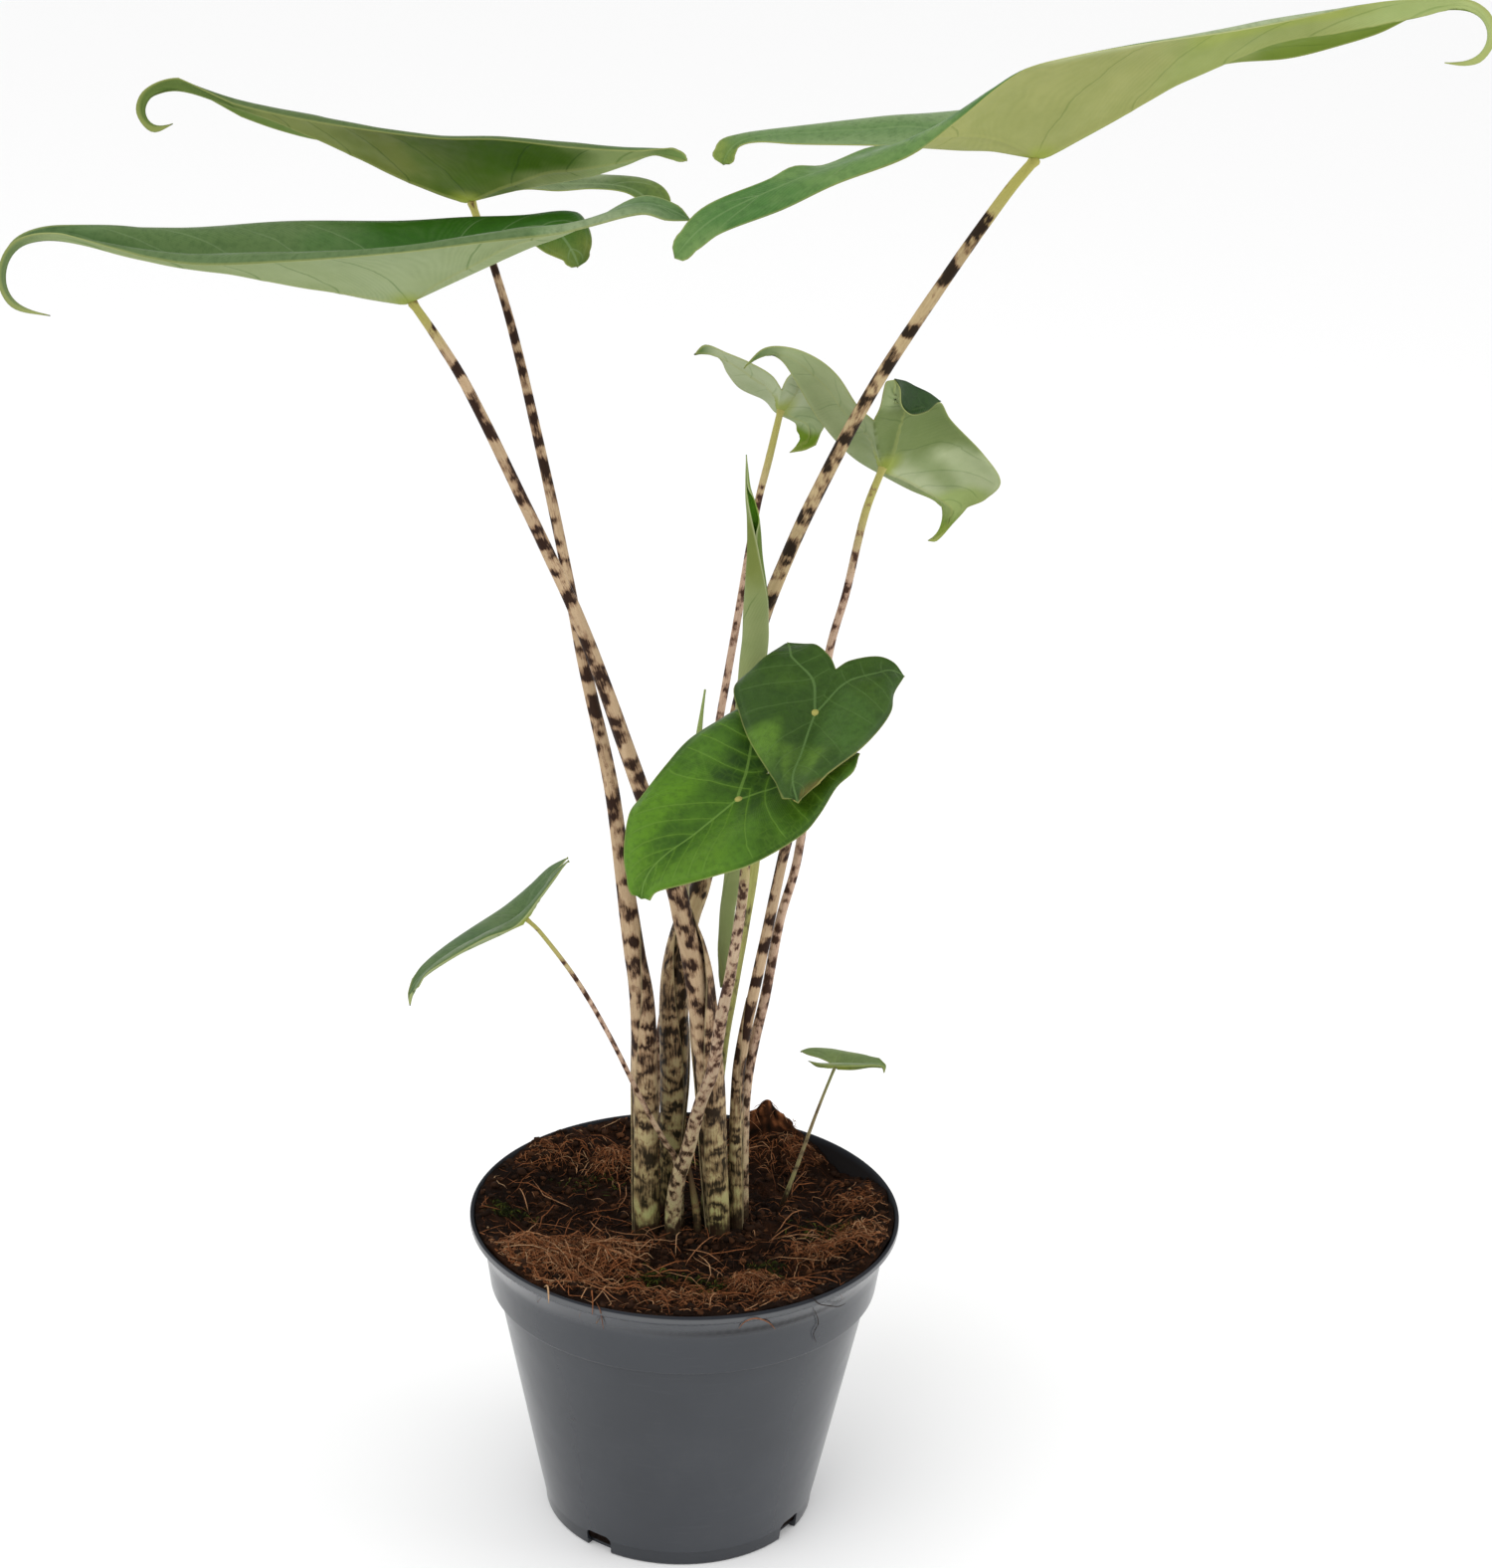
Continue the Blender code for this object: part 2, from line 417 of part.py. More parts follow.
def warp_grid(bm, points):
    """A flat grid laid over the given points."""
    rows, cols = points.shape[0] - 1, points.shape[1] - 1
    for v in bmesh.ops.create_grid(bm, x_segments=rows, y_segments=cols, size=0.5)["verts"]:
        v.co = points[round((v.co.x + 0.5) * rows), round((v.co.y + 0.5) * cols)]


def finish_blade(name, bm, mat, origin):
    bmesh.ops.remove_doubles(bm, verts=bm.verts, dist=2e-5)
    bmesh.ops.dissolve_degenerate(bm, edges=bm.edges, dist=1e-6)
    bmesh.ops.triangulate(bm, faces=bm.faces, quad_method="SHORT_EDGE")
    bmesh.ops.recalc_face_normals(bm, faces=bm.faces)
    obj = add_object(name, bm, mat, origin)
    thick = obj.modifiers.new("thickness", "SOLIDIFY")
    thick.thickness = BLADE_T * MM
    thick.offset = 0.0
    return obj


def build_blade(name, leaf, mat):
    front, back = leaf["rows"]
    us = np.concatenate([np.linspace(0, TURN, front + 1), np.linspace(TURN, 1, back + 1)[1:]])
    vs = np.linspace(0, 1, leaf["cols"] + 1)
    bm = bmesh.new()
    warp_grid(bm, half_blade(leaf, leaf["left"], 1, us, vs))
    warp_grid(bm, half_blade(leaf, leaf["right"], -1, us, vs))
    origin = Vector(leaf["mid"][leaf["joint"]]) * MM
    return finish_blade(name, bm, mat, origin)


def build_rolled_blade(mat):
    """The young blade, still rolled round itself, with its lobes hanging beside the stalk."""
    table = np.array(ROLL, float)
    at = np.linspace(0, len(table) - 1, 19)
    rows = spline(table, np.arange(len(table), dtype=float), at)
    grid = np.zeros((len(rows), 9, 3))
    for i, (x, y, z, radius, fill) in enumerate(rows):
        open_at = ROLL_OPEN[0] + (ROLL_OPEN[1] - ROLL_OPEN[0]) * i / (len(rows) - 1)
        turn = np.radians(open_at + 180 + np.linspace(-fill / 2, fill / 2, 9))
        grid[i] = np.stack([x + radius * np.cos(turn), y + radius * np.sin(turn),
                            np.full(9, z)], axis=1) * MM
    bm = bmesh.new()
    warp_grid(bm, grid)
    return finish_blade("blade_rolled", bm, mat, Vector(ROLL[8][:3]) * MM)


# ---- stalks

def smooth_path(points):
    table = np.array(points, float)
    if len(table) > 2:
        knots = knots_of(table[:, :3], 0.0, 1.0)
        length = np.linalg.norm(np.diff(table[:, :3], axis=0), axis=1).sum()
        return spline(table, knots, np.linspace(0, 1, max(6, int(length / STALK_STEP))))
    return table


def surface_of(obj):
    depsgraph = bpy.context.evaluated_depsgraph_get()
    tree = BVHTree.FromObject(obj, depsgraph)
    inverse = obj.matrix_world.inverted()
    return lambda point: tree.find_nearest(inverse @ Vector(point))[3]


def ring(centre, along, radius):
    """Eight points round a stalk, in mm."""
    side = unit(np.cross(along, [0.3, 0.9, 0.1]))
    up = np.cross(along, side)
    turn = np.arange(8)[:, None] * math.tau / 8
    return centre + radius * (side * np.cos(turn) + up * np.sin(turn))


def seat_end(path, blade):
    """End the path, tapered to half its radius, where it comes within GAP of the blade."""
    bpy.context.view_layer.update()
    distance = surface_of(blade)
    before, last = path[-2], path[-1]
    along = unit(last[:3] - before[:3])
    best = before
    for t in np.linspace(0.3, 1.0, 300):
        end = before + (last - before) * t
        end[3] *= 0.5
        stations = [before + (end - before) * k for k in (0.4, 0.6, 0.8, 0.9, 1.0)]
        points = np.vstack([ring(row[:3], along, row[3]) for row in stations] + [end[:3]])
        if min(distance(point * MM) for point in points) < (GAP + 0.04) * MM:
            break
        best = end
    return np.vstack([path[:-1], best])


def build_tube(name, path, mat):
    curve = bpy.data.curves.new(name, "CURVE")
    curve.dimensions = "3D"
    curve.bevel_depth = MM
    curve.bevel_resolution = STALK_SIDES
    curve.use_fill_caps = True
    origin = path[0][:3] * MM
    run = curve.splines.new("POLY")
    run.points.add(len(path) - 1)
    for point, row in zip(run.points, path):
        point.co = (*(row[:3] * MM - origin), 1.0)
        point.radius = row[3]
    curve.materials.append(mat)
    obj = bpy.data.objects.new(name, curve)
    obj.location = origin
    bpy.context.collection.objects.link(obj)
    return obj


def planted(points):
    """The path from the bottom of its hole in the soil."""
    path = smooth_path(points)
    x, y, _, radius = path[0]
    foot = [(x, y, SOIL_TOP - HOLE_DEPTH + GAP, radius)]
    return np.vstack([foot, [(x, y, SOIL_TOP + 3, radius)], path[1:]])


def main():
    clear_scene()
    blades = {name: build_blade(name, leaf, material(name, leaf["colour"], 0.45))
              for name, leaf in BLADES.items()}
    blades["blade_rolled"] = build_rolled_blade(material("blade_rolled", ROLL_SAGE, 0.5))
    feet = []
    for name, (carries, colour, points) in STALKS.items():
        path = seat_end(planted(points), blades[carries])
        build_tube(name, path, material(name, colour, 0.5))
        feet.append((points[0][0], points[0][1], points[0][3]))
    for name, points, colour, roughness in (("spear_leaf", SPEAR, SPEAR_GREEN, 0.5),
                                            ("dry_sheath", STUB, STUB_BROWN, 0.9)):
        build_tube(name, planted(points), material(name, colour, roughness))
        feet.append((points[0][0], points[0][1], points[0][3]))
    build_pot(material("pot", (0.085, 0.095, 0.105), 0.42))
    build_soil(material("soil", (0.030, 0.018, 0.012), 0.95), feet)


main()
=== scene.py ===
"""Dresses the potted alocasia: finer blades, stalks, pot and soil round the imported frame, with their
materials, a camera, soft lights and a pale floor.

The lists of sizes are millimetres in the frame of the CAD: +Z up, the pot standing on z = 0 and seen
from -Y. Meshes and everything in Blender are metres.
"""
import math
import random

import bmesh
import bpy
import numpy as np
from mathutils import Matrix, Vector, noise


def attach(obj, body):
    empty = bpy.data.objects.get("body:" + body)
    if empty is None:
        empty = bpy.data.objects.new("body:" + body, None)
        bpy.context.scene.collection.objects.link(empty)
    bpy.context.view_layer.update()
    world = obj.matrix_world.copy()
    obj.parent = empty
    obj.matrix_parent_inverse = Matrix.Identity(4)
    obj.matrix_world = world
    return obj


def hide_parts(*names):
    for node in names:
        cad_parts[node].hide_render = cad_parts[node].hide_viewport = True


bl_info = {
    "name": "Potted alocasia",
    "version": (1, 0, 0),
    "blender": (4, 5, 0),
    "location": "View3D > Sidebar > Alocasia",
    "description": "Blades, mottled stalks, soil and nursery pot of a potted alocasia",
    "category": "Object",
}

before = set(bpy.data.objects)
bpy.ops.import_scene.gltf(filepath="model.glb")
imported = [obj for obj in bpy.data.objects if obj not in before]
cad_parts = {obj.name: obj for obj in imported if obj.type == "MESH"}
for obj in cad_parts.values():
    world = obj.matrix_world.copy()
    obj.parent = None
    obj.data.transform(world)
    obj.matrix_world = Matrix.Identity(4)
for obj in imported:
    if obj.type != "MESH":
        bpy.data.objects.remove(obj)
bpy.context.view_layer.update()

MM = 0.001
TURN = 0.6          # where a blade's notch falls between its tip (0) and the ends of its lobes (1)
CURL = (1.5, 0.0)   # of a curled tip: width of each half in mm, and how far they fold up, in radians

# the pot, as in the CAD, but for the rim: the collar flares out to it from FLARE_Z
RIM_R, POT_H = 85.0, 130.0
LIP_H, LIP_OUT = 3.0, 4.4
COLLAR_H, COLLAR_TAPER, COLLAR_STEP = 29.2, 3.6, 3.0
FLARE_Z, RIM_T = 116.5, 1.5
BASE_R, WALL, FLOOR_T = 54.3, 1.3, 1.8
BAND_H, BAND_STEP = 6.5, 0.4
NOTCHES, NOTCH_W, NOTCH_H, NOTCH_AT = 4, 11.5, 8.0, -123.7

# the soil
SOIL_TOP, SOIL_LUMP, SOIL_SEED = 122.0, 2.2, 11
# raised tufts and clods, and one hollow: x, y, reach along x and y, height
SOIL_FORMS = [(-46, -36, 24, 13, 7.0), (-31, 43, 9, 7, 6.0), (-9, -27, 5, 4, 4.0), (49, -25, 8, 6, 3.5),
              (30, -50, 9, 6, 4.0), (20, -31, 6, 4, 3.0), (-45, 50, 20, 10, 4.0), (58, 42, 14, 11, -1.5),
              (34, 58, 13, 8, 5.0), (4, -13, 26, 6, 3.0), (-8, -64, 22, 6, 2.5), (66, -12, 9, 16, 3.0)]

# Each blade by the runs of its edges, as in the CAD, and by its look: colours of the top in shade and
# in light, of the underside and of its far part, and of the veins; how many side veins each half has;
# how strongly the net and the yellow between the veins show.
# top_patches and under_patches hold colours in parts of a blade, many of them painted shade, painted light and painted
# highlights
BLADES = {
    "blade_left_low": dict(
        curl=(3.6, 0.9),
        under_patches=[(None, 0.03, 0.17, -1, 2, (0.140, 0.195, 0.080)), (None, 0.0, 0.03, -1, 2, (0.230, 0.260, 0.090))],
        top=(0.030, 0.100, 0.012), lit=(0.090, 0.170, 0.052), under=(0.305, 0.365, 0.195),
        far=(0.275, 0.335, 0.155), vein=(0.175, 0.255, 0.115), veins=7, net=0.0, glow=0.1, show=0.30,
        top_patches=[(1, 0.20, 0.52, -1, 2, (0.080, 0.138, 0.041)), (1, 0.53, 0.96, -1, 2, (0.021, 0.085, 0.004)),
                     (0, 0.0, 0.8, -1, 2, (0.090, 0.145, 0.052)), (1, 0.0, 0.22, -1, 2, (0.115, 0.185, 0.072)),
                     (0, 0.8, 2, -1, 2, (0.120, 0.195, 0.075)), (0, 0.82, 0.92, 0.7, 2, (0.230, 0.285, 0.155)),
                     (1, 0.91, 2, -1, 2, (0.145, 0.178, 0.030)), (1, 0.95, 2, 0.6, 2, (0.060, 0.088, 0.006))],
        joint=0, camber=3.0,
        mid=[(-102, -25, 496), (-128, -26, 500), (-161, -28, 505), (-194, -30, 510), (-222, -31, 516),
             (-237, -31, 513), (-243, -31, 502), (-240, -30, 492), (-228, -28, 488)],
        left=dict(crest=(2.2, 3.0), beside=4, margin=[
            (-221, -32, 515), (-201, -38, 513), (-174, -46, 511), (-140, -56, 515), (-102, -66, 521),
            (-71, -73, 527), (-48, -77, 531), (-38, -79, 534), (-20, -80, 539), (-12, -78, 537),
            (-4, -72, 536)],
            sinus=[(-84, -38, 507), (-59, -56, 522), (-48, -66, 528), (-39, -70, 533), (-21, -69, 543),
                   (-9, -71, 541), (-4, -72, 536)]),
        right=dict(blunt=0.965, beside=4, margin=[
            (-222, -31, 517), (-204, -22, 518), (-180, -12, 517), (-148, 0, 518), (-111, 12, 517),
            (-87, 18, 518), (-64, 20, 519), (-48, 18, 521), (-43, 14, 516), (-42, 10, 510),
            (-46, 6, 504)],
            sinus=[(-87, -14, 503), (-74, -4, 510), (-64, 0, 513), (-57, 2, 509), (-46, 6, 504)])),
    "blade_left_high": dict(
        curl=(3.8, 0.9), rib_at=0.27,
        top=(0.050, 0.105, 0.028), lit=(0.110, 0.165, 0.060), under=(0.090, 0.140, 0.032),
        far=(0.115, 0.165, 0.048), vein=(0.20, 0.27, 0.12), veins=7, net=0.0, glow=0.1, show=0.30,
        top_patches=[(0, 0.0, 0.85, -1, 2, (0.080, 0.125, 0.036)), (0, 0.86, 2, -1, 2, (0.080, 0.150, 0.040)),
                     (1, 0.68, 0.86, -1, 2, (0.215, 0.265, 0.125)), (1, 0.86, 2, -1, 2, (0.115, 0.168, 0.035))],
        # painted shade: the dark greens on the left half's underside by its lobe, tinted by light off the blade below
        under_patches=[(0, 0.28, 0.46, -1, 2, (0.185, 0.220, 0.064)), (0, 0.45, 0.56, -1, 2, (0.125, 0.155, 0.032)),
                       (0, 0.54, 0.72, -1, 2, (0.066, 0.112, 0.012)), (0, 0.62, 0.84, 0.25, 2, (0.044, 0.104, 0.001)), (1, 0.0, 0.45, -1, 2, (0.130, 0.200, 0.045)),
                       (0, 0.68, 0.82, -1, 0.28, (0.185, 0.235, 0.080)), (0, 0.0, 0.28, -1, 2, (0.115, 0.170, 0.042)),
                       (None, 0.8, 0.94, -1, 2, (0.265, 0.335, 0.128)), (None, 0.94, 2, -1, 2, (0.150, 0.235, 0.068))],
        joint=0, camber=3.0,
        mid=[(-89, 55, 517), (-116, 54, 527), (-142, 53, 538), (-163, 52, 547), (-183, 51, 553),
             (-196, 50, 556), (-206, 50, 553), (-209, 50, 547), (-205, 50, 541), (-198, 51, 543)],
        left=dict(crest=(1.3, 3.0), blunt=0.972, beside=4, margin=[
            (-195, 49, 557), (-175, 43, 552), (-153, 35, 549), (-127, 26, 547), (-97, 16, 546),
            (-75, 11, 547), (-49, 5, 546), (-27, 2, 546), (-17, 2, 547), (-12, 4, 547), (-8, 6, 543)],
            sinus=[(-68, 40, 525), (-43, 24, 533), (-30, 14, 539), (-20, 7, 544), (-13, 5, 543),
                   (-8, 6, 543)]),
        right=dict(beside=5, margin=[
            (-195, 52, 554), (-178, 60, 546), (-162, 68, 539), (-146, 77, 534), (-120, 88, 531),
            (-100, 93, 529), (-70, 92, 524), (-48, 88, 522), (-29, 82, 523), (-20, 78, 521),
            (-16, 75, 516), (-18, 73, 509)],
            sinus=[(-71, 66, 520), (-58, 71, 519), (-45, 72, 520), (-33, 72, 519), (-26, 72, 515),
                   (-18, 73, 509)])),
    "blade_right_high": dict(
        curl=(2.4, 0.8),
        top=(0.055, 0.145, 0.030), lit=(0.145, 0.240, 0.072), under=(0.290, 0.330, 0.112),
        far=(0.270, 0.318, 0.098), vein=(0.20, 0.29, 0.12), veins=6, net=0.0, glow=0.1, show=0.22,
        top_patches=[(1, 0.0, 0.5, -1, 2, (0.330, 0.390, 0.220)), (0, 0.94, 2, -1, 2, (0.195, 0.250, 0.048)),
                     (0, 0.62, 0.93, -1, 2, (0.165, 0.250, 0.100))],
        under_patches=[(0, 0.0, 0.40, -1, 2, (0.150, 0.215, 0.030)), (1, 0.0, 0.26, -1, 2, (0.360, 0.425, 0.165)),
                       (1, 0.26, 0.42, 0.45, 2, (0.300, 0.350, 0.085)), (1, 0.46, 0.8, -1, 2, (0.305, 0.322, 0.112)),
                       # the pale strip along the right half's margin below is a painted highlight
                       (1, 0.34, 0.62, 0.99, 2, (0.620, 0.660, 0.430))],
        under_show=0.4,
        joint=0, camber=3.0,
        mid=[(114, 0, 548), (143, 0, 565), (163, -1, 577), (180, -2, 586), (196, -3, 592),
             (216, -4, 596), (239, -5, 601), (256, -6, 605), (264, -6, 602), (267, -6, 595),
             (264, -6, 588), (259, -6, 586), (252, -5, 586)],
        left=dict(blunt=0.975, beside=8, margin=[
            (256, -5, 604), (241, -3, 600), (231, 0, 595), (219, 4, 590), (201, 9, 584), (182, 15, 581),
            (163, 24, 575), (146, 31, 571), (123, 39, 567), (105, 43, 561), (91, 45, 557), (58, 46, 553),
            (35, 44, 550), (19, 42, 548), (10, 40, 547), (3, 38, 545), (1, 36, 541), (4, 34, 537)],
            sinus=[(95, 10, 549), (76, 18, 548), (56, 24, 547), (30, 28, 546), (17, 30, 546),
                   (10, 32, 544), (8, 33, 540), (4, 34, 537)]),
        right=dict(crest=(0.6, 3.0), blunt=0.975, beside=5, margin=[
            (255, -7, 606), (228, -11, 606), (205, -18, 602), (176, -27, 597), (138, -38, 592),
            (116, -44, 588), (105, -48, 585), (95, -54, 579), (83, -62, 570), (67, -70, 559),
            (43, -76, 550), (26, -80, 542), (6, -82, 534), (-2, -82, 528), (-9, -80, 525)],
            sinus=[(99, -12, 552), (86, -24, 554), (70, -40, 557), (55, -54, 559), (39, -63, 554),
                   (29, -67, 554), (21, -70, 550), (1, -76, 542), (-7, -79, 534), (-9, -80, 525)])),
    "blade_right_mid": dict(
        curl=(1.6, 0.0),
        top=(0.009, 0.036, 0.002), lit=(0.016, 0.052, 0.003), under=(0.265, 0.320, 0.155),
        far=(0.215, 0.268, 0.115), vein=(0.22, 0.29, 0.13), veins=6, net=0.1, glow=0.1, show=0.25,
        top_patches=[(None, 0.0, 0.16, -1, 2, (0.130, 0.200, 0.020))],
        under_patches=[(None, 0.22, 0.48, -1, 0.22, (0.350, 0.395, 0.225)), (1, 0.2, 0.46, 0.5, 2, (0.360, 0.410, 0.228)),
                       (0, 0.62, 0.84, -1, 2, (0.290, 0.340, 0.170)), (0, 0.82, 0.95, -1, 2, (0.330, 0.390, 0.200)),
                       (1, 0.46, 0.70, -1, 2, (0.150, 0.198, 0.068)), (0, 0.95, 2, -1, 2, (0.080, 0.145, 0.045)),
                       (None, 0.08, 0.24, -1, 2, (0.270, 0.340, 0.115)), (None, 0.0, 0.08, -1, 2, (0.190, 0.280, 0.030))],
        under_show=0.32,
        fold=[(69.9, 18, 463.9), (73.4, 21, 462.2), (77.2, 24, 459.5), (82.7, 30, 455.8), (87.4, 36, 451.6)],
        joint=1, camber=3.0,
        mid=[(62, 18, 448), (67, 40, 425), (74, 52, 419), (83, 66, 411), (91, 78, 404), (97, 88, 396),
             (95, 92, 388), (91, 92, 382), (88, 91, 382)],
        left=dict(beside=4, margin=[
            (94, 92, 395), (90, 92, 398), (80, 88, 403), (68, 80, 411), (56, 68, 421), (47, 50, 434),
            (39, 35, 448), (32, 24, 462), (27, 17, 470), (21, 11, 473), (14, 6, 469)],
            sinus=[(56, 18, 453), (48, 15, 465), (40, 12, 472), (30, 10, 476), (21, 7, 476),
                   (14, 6, 469)]),
        right=dict(beside=4, margin=[
            (101, 88, 397), (109, 82, 402), (114, 74, 411), (106, 62, 425), (92, 46, 442), (87, 36, 451),
            (82, 26, 450), (76, 20, 450), (72, 17, 454), (71, 15, 461), (69, 16, 464)],
            sinus=[(64, 14, 454), (65, 12, 461), (66, 13, 464), (69, 16, 464)])),
    "blade_back_small": dict(
        curl=(1.6, 0.0),
        top=(0.040, 0.092, 0.030), lit=(0.085, 0.140, 0.058), under=(0.400, 0.450, 0.280),
        far=(0.340, 0.395, 0.220), vein=(0.22, 0.29, 0.14), veins=5, net=0.1, glow=0.1, show=0.25,
        under_patches=[(None, 0.16, 0.44, -1, 2, (0.290, 0.355, 0.175)), (0, 0.94, 2, -1, 2, (0.100, 0.165, 0.050)),
                       (None, 0.0, 0.18, -1, 2, (0.130, 0.215, 0.016))],
        under_show=0.32,
        joint=1, camber=2.0,
        mid=[(28, 48, 451), (28, 60, 441), (33, 72, 436), (39, 84, 430), (40, 90, 424), (37, 92, 418),
             (32, 91, 416)],
        left=dict(beside=3, margin=[
            (36, 91, 424), (34, 90, 428), (26, 82, 434), (21, 74, 441), (12, 62, 448), (7, 54, 456),
            (5, 48, 462), (1, 45, 465), (-5, 42, 465)],
            sinus=[(24, 46, 457), (16, 44, 462), (7, 42, 466), (-1, 41, 469), (-5, 42, 465)]),
        right=dict(beside=3, margin=[
            (41, 92, 420), (45, 88, 427), (46, 80, 435), (43, 70, 443), (39, 58, 451), (35, 52, 456),
            (32, 49, 458)],
            sinus=[(29, 47, 454), (30, 47, 456), (32, 49, 458)])),
    "blade_front_low": dict(
        top=(0.022, 0.068, 0.006), lit=(0.066, 0.158, 0.011), under=(0.260, 0.330, 0.160),
        far=(0.260, 0.330, 0.160), vein=(0.125, 0.240, 0.028), veins=8, net=0.6, glow=0.9, show=0.40,
        rib=(0.130, 0.240, 0.042), rib_at=0.40, rib_rise=1.6,
        top_patches=[(None, 0.0, 0.18, -1, 2, (0.085, 0.195, 0.012)), (0, 0.1, 0.5, 0.45, 2, (0.080, 0.180, 0.012)),
                     (1, 0.15, 0.55, 0.50, 2, (0.085, 0.200, 0.010)), (None, 0.5, 0.72, -1, 0.45, (0.020, 0.052, 0.008)),
                     (0, 0.58, 0.92, 0.35, 2, (0.030, 0.080, 0.003))],
        joint=1, camber=3.0,
        mid=[(27, -40, 330), (17, -50, 324), (2, -64, 316), (-11, -76, 309), (-15, -82, 304),
             (-16, -84, 298)],
        left=dict(beside=4, margin=[
            (-14, -86, 298.5), (-11, -87, 302), (0, -88, 306), (10, -87, 309), (24, -83, 313), (40, -73, 320),
            (46, -66, 325), (52, -56, 332), (58, -50, 336), (60, -45, 341)],
            sinus=[(36, -37, 335), (49, -37, 339), (60, -45, 341)]),
        right=dict(beside=5, margin=[
            (-18.5, -83, 298.5), (-20.5, -80, 301), (-23, -71, 309), (-22, -59, 320), (-18, -51, 324), (-10, -40, 332),
            (-2, -31, 339), (8, -24, 344), (17, -19, 348), (24, -17, 348)],
            sinus=[(32, -34, 337), (31, -24, 345), (24, -17, 348)])),
    "blade_front_heart": dict(
        top=(0.025, 0.061, 0.009), lit=(0.047, 0.100, 0.013), under=(0.240, 0.170, 0.060),
        far=(0.300, 0.200, 0.050), vein=(0.095, 0.175, 0.045), veins=6, net=0.35, glow=0.4, show=0.26,
        rib=(0.095, 0.172, 0.048), rib_at=0.38, rib_rise=1.7,
        top_patches=[(1, 0.28, 0.46, 0.55, 2, (0.088, 0.180, 0.020)), (None, 0.12, 0.30, -1, 0.55, (0.088, 0.172, 0.022)),
                     (0, 0.3, 0.6, 0.2, 0.9, (0.048, 0.108, 0.019)), (0, 0.0, 0.035, 0.3, 2, (0.150, 0.095, 0.022))],
        joint=1, camber=3.0,
        mid=[(51, -16, 363), (44, -30, 351), (39, -48, 342), (36, -64, 338), (38, -76, 333)],
        left=dict(beside=3, margin=[
            (44, -74, 340), (52, -64, 343), (60, -54, 346), (67, -43, 350), (71, -35, 354),
            (72, -27, 358), (76, -19, 362)],
            sinus=[(56, -12, 365), (66, -9, 366), (72, -12, 365), (76, -19, 362)]),
        right=dict(beside=3, margin=[
            (34, -71, 333), (27, -57, 338), (20, -42, 344), (16, -29, 350), (14, -20, 356),
            (20, -12, 360), (26, -6, 364), (33, -2, 368)],
            sinus=[(49, -12, 366), (44, -7, 369), (39, -3, 368), (33, -2, 368)])),
    "blade_left_small": dict(
        top=(0.052, 0.108, 0.034), lit=(0.110, 0.165, 0.062), under=(0.300, 0.360, 0.220),
        far=(0.260, 0.320, 0.170), vein=(0.13, 0.19, 0.09), veins=5, net=0.0, glow=0.1, show=0.2,
        joint=0, camber=2.0,
        mid=[(-59, -56, 277), (-68, -62, 275), (-80, -68, 271), (-89, -72, 266), (-96, -75, 261),
             (-99, -77, 256), (-99, -78, 251)],
        left=dict(beside=4, margin=[
            (-96, -82, 261), (-92, -85, 267), (-82, -87, 275), (-71, -84, 281), (-61, -77, 283),
            (-53, -66, 290), (-48, -58, 295), (-44, -50, 298)],
            sinus=[(-53, -54, 287), (-50, -52, 293), (-44, -50, 298)]),
        right=dict(beside=4, margin=[
            (-98, -74, 259), (-95, -68, 263), (-89, -60, 266), (-78, -50, 271), (-68, -43, 276),
            (-59, -39, 283), (-52, -38, 290), (-45, -40, 295)],
            sinus=[(-55, -51, 283), (-51, -46, 289), (-45, -40, 295)])),
    "blade_right_small": dict(
        top=(0.125, 0.195, 0.060), lit=(0.240, 0.290, 0.100), under=(0.210, 0.270, 0.090),
        far=(0.110, 0.170, 0.045), vein=(0.22, 0.29, 0.12), veins=4, net=0.0, glow=0.1, show=0.2,
        joint=0, camber=1.5,
        mid=[(58, 20, 185), (65, 18, 186), (72, 16, 188), (77, 15, 188), (77, 15, 185)],
        left=dict(beside=3, margin=[
            (75, 18, 189), (70, 24, 188), (62, 29, 187), (56, 31, 187), (48, 31, 187), (44, 30, 186)],
            sinus=[(52, 24, 186), (47, 27, 186), (44, 30, 186)]),
        right=dict(beside=3, margin=[
            (75, 12, 190), (69, 6, 192), (61, 3, 193), (56, 5, 192), (51, 10, 190), (47, 15, 189)],
            sinus=[(54, 18, 186), (50, 17, 187), (47, 15, 189)])),
}


# Looks of the stalks: the ground colour, the colour of the blotches, how much of the stalk they cover,
# how strongly fine specks show, and how far down the yellow-green neck reaches.
MOTTLED = dict(ground=(0.400, 0.290, 0.180), blotch=(0.026, 0.012, 0.007), cover=0.52, specks=0.45)
GREEN_SHEATH = dict(ground=(0.380, 0.290, 0.160), blotch=(0.020, 0.012, 0.006), cover=0.52, specks=0.45,
                    neck_reach=(8.0, 45.0))
PINKISH = dict(ground=(0.440, 0.310, 0.225), blotch=(0.050, 0.023, 0.014), cover=0.46, specks=0.90,
               neck_reach=(8.0, 50.0), fringe=(0.220, 0.115, 0.075), maze=0.35, grain=1.5)
YELLOW_GREEN = dict(ground=(0.330, 0.330, 0.110), blotch=(0.100, 0.085, 0.035), cover=0.20, specks=0.8,
                    fringe=(0.220, 0.200, 0.080))
STRAW = dict(ground=(0.230, 0.170, 0.100), blotch=(0.090, 0.055, 0.035), cover=0.35, specks=0.7,
             neck=(0.210, 0.230, 0.090), fringe=(0.170, 0.120, 0.075))

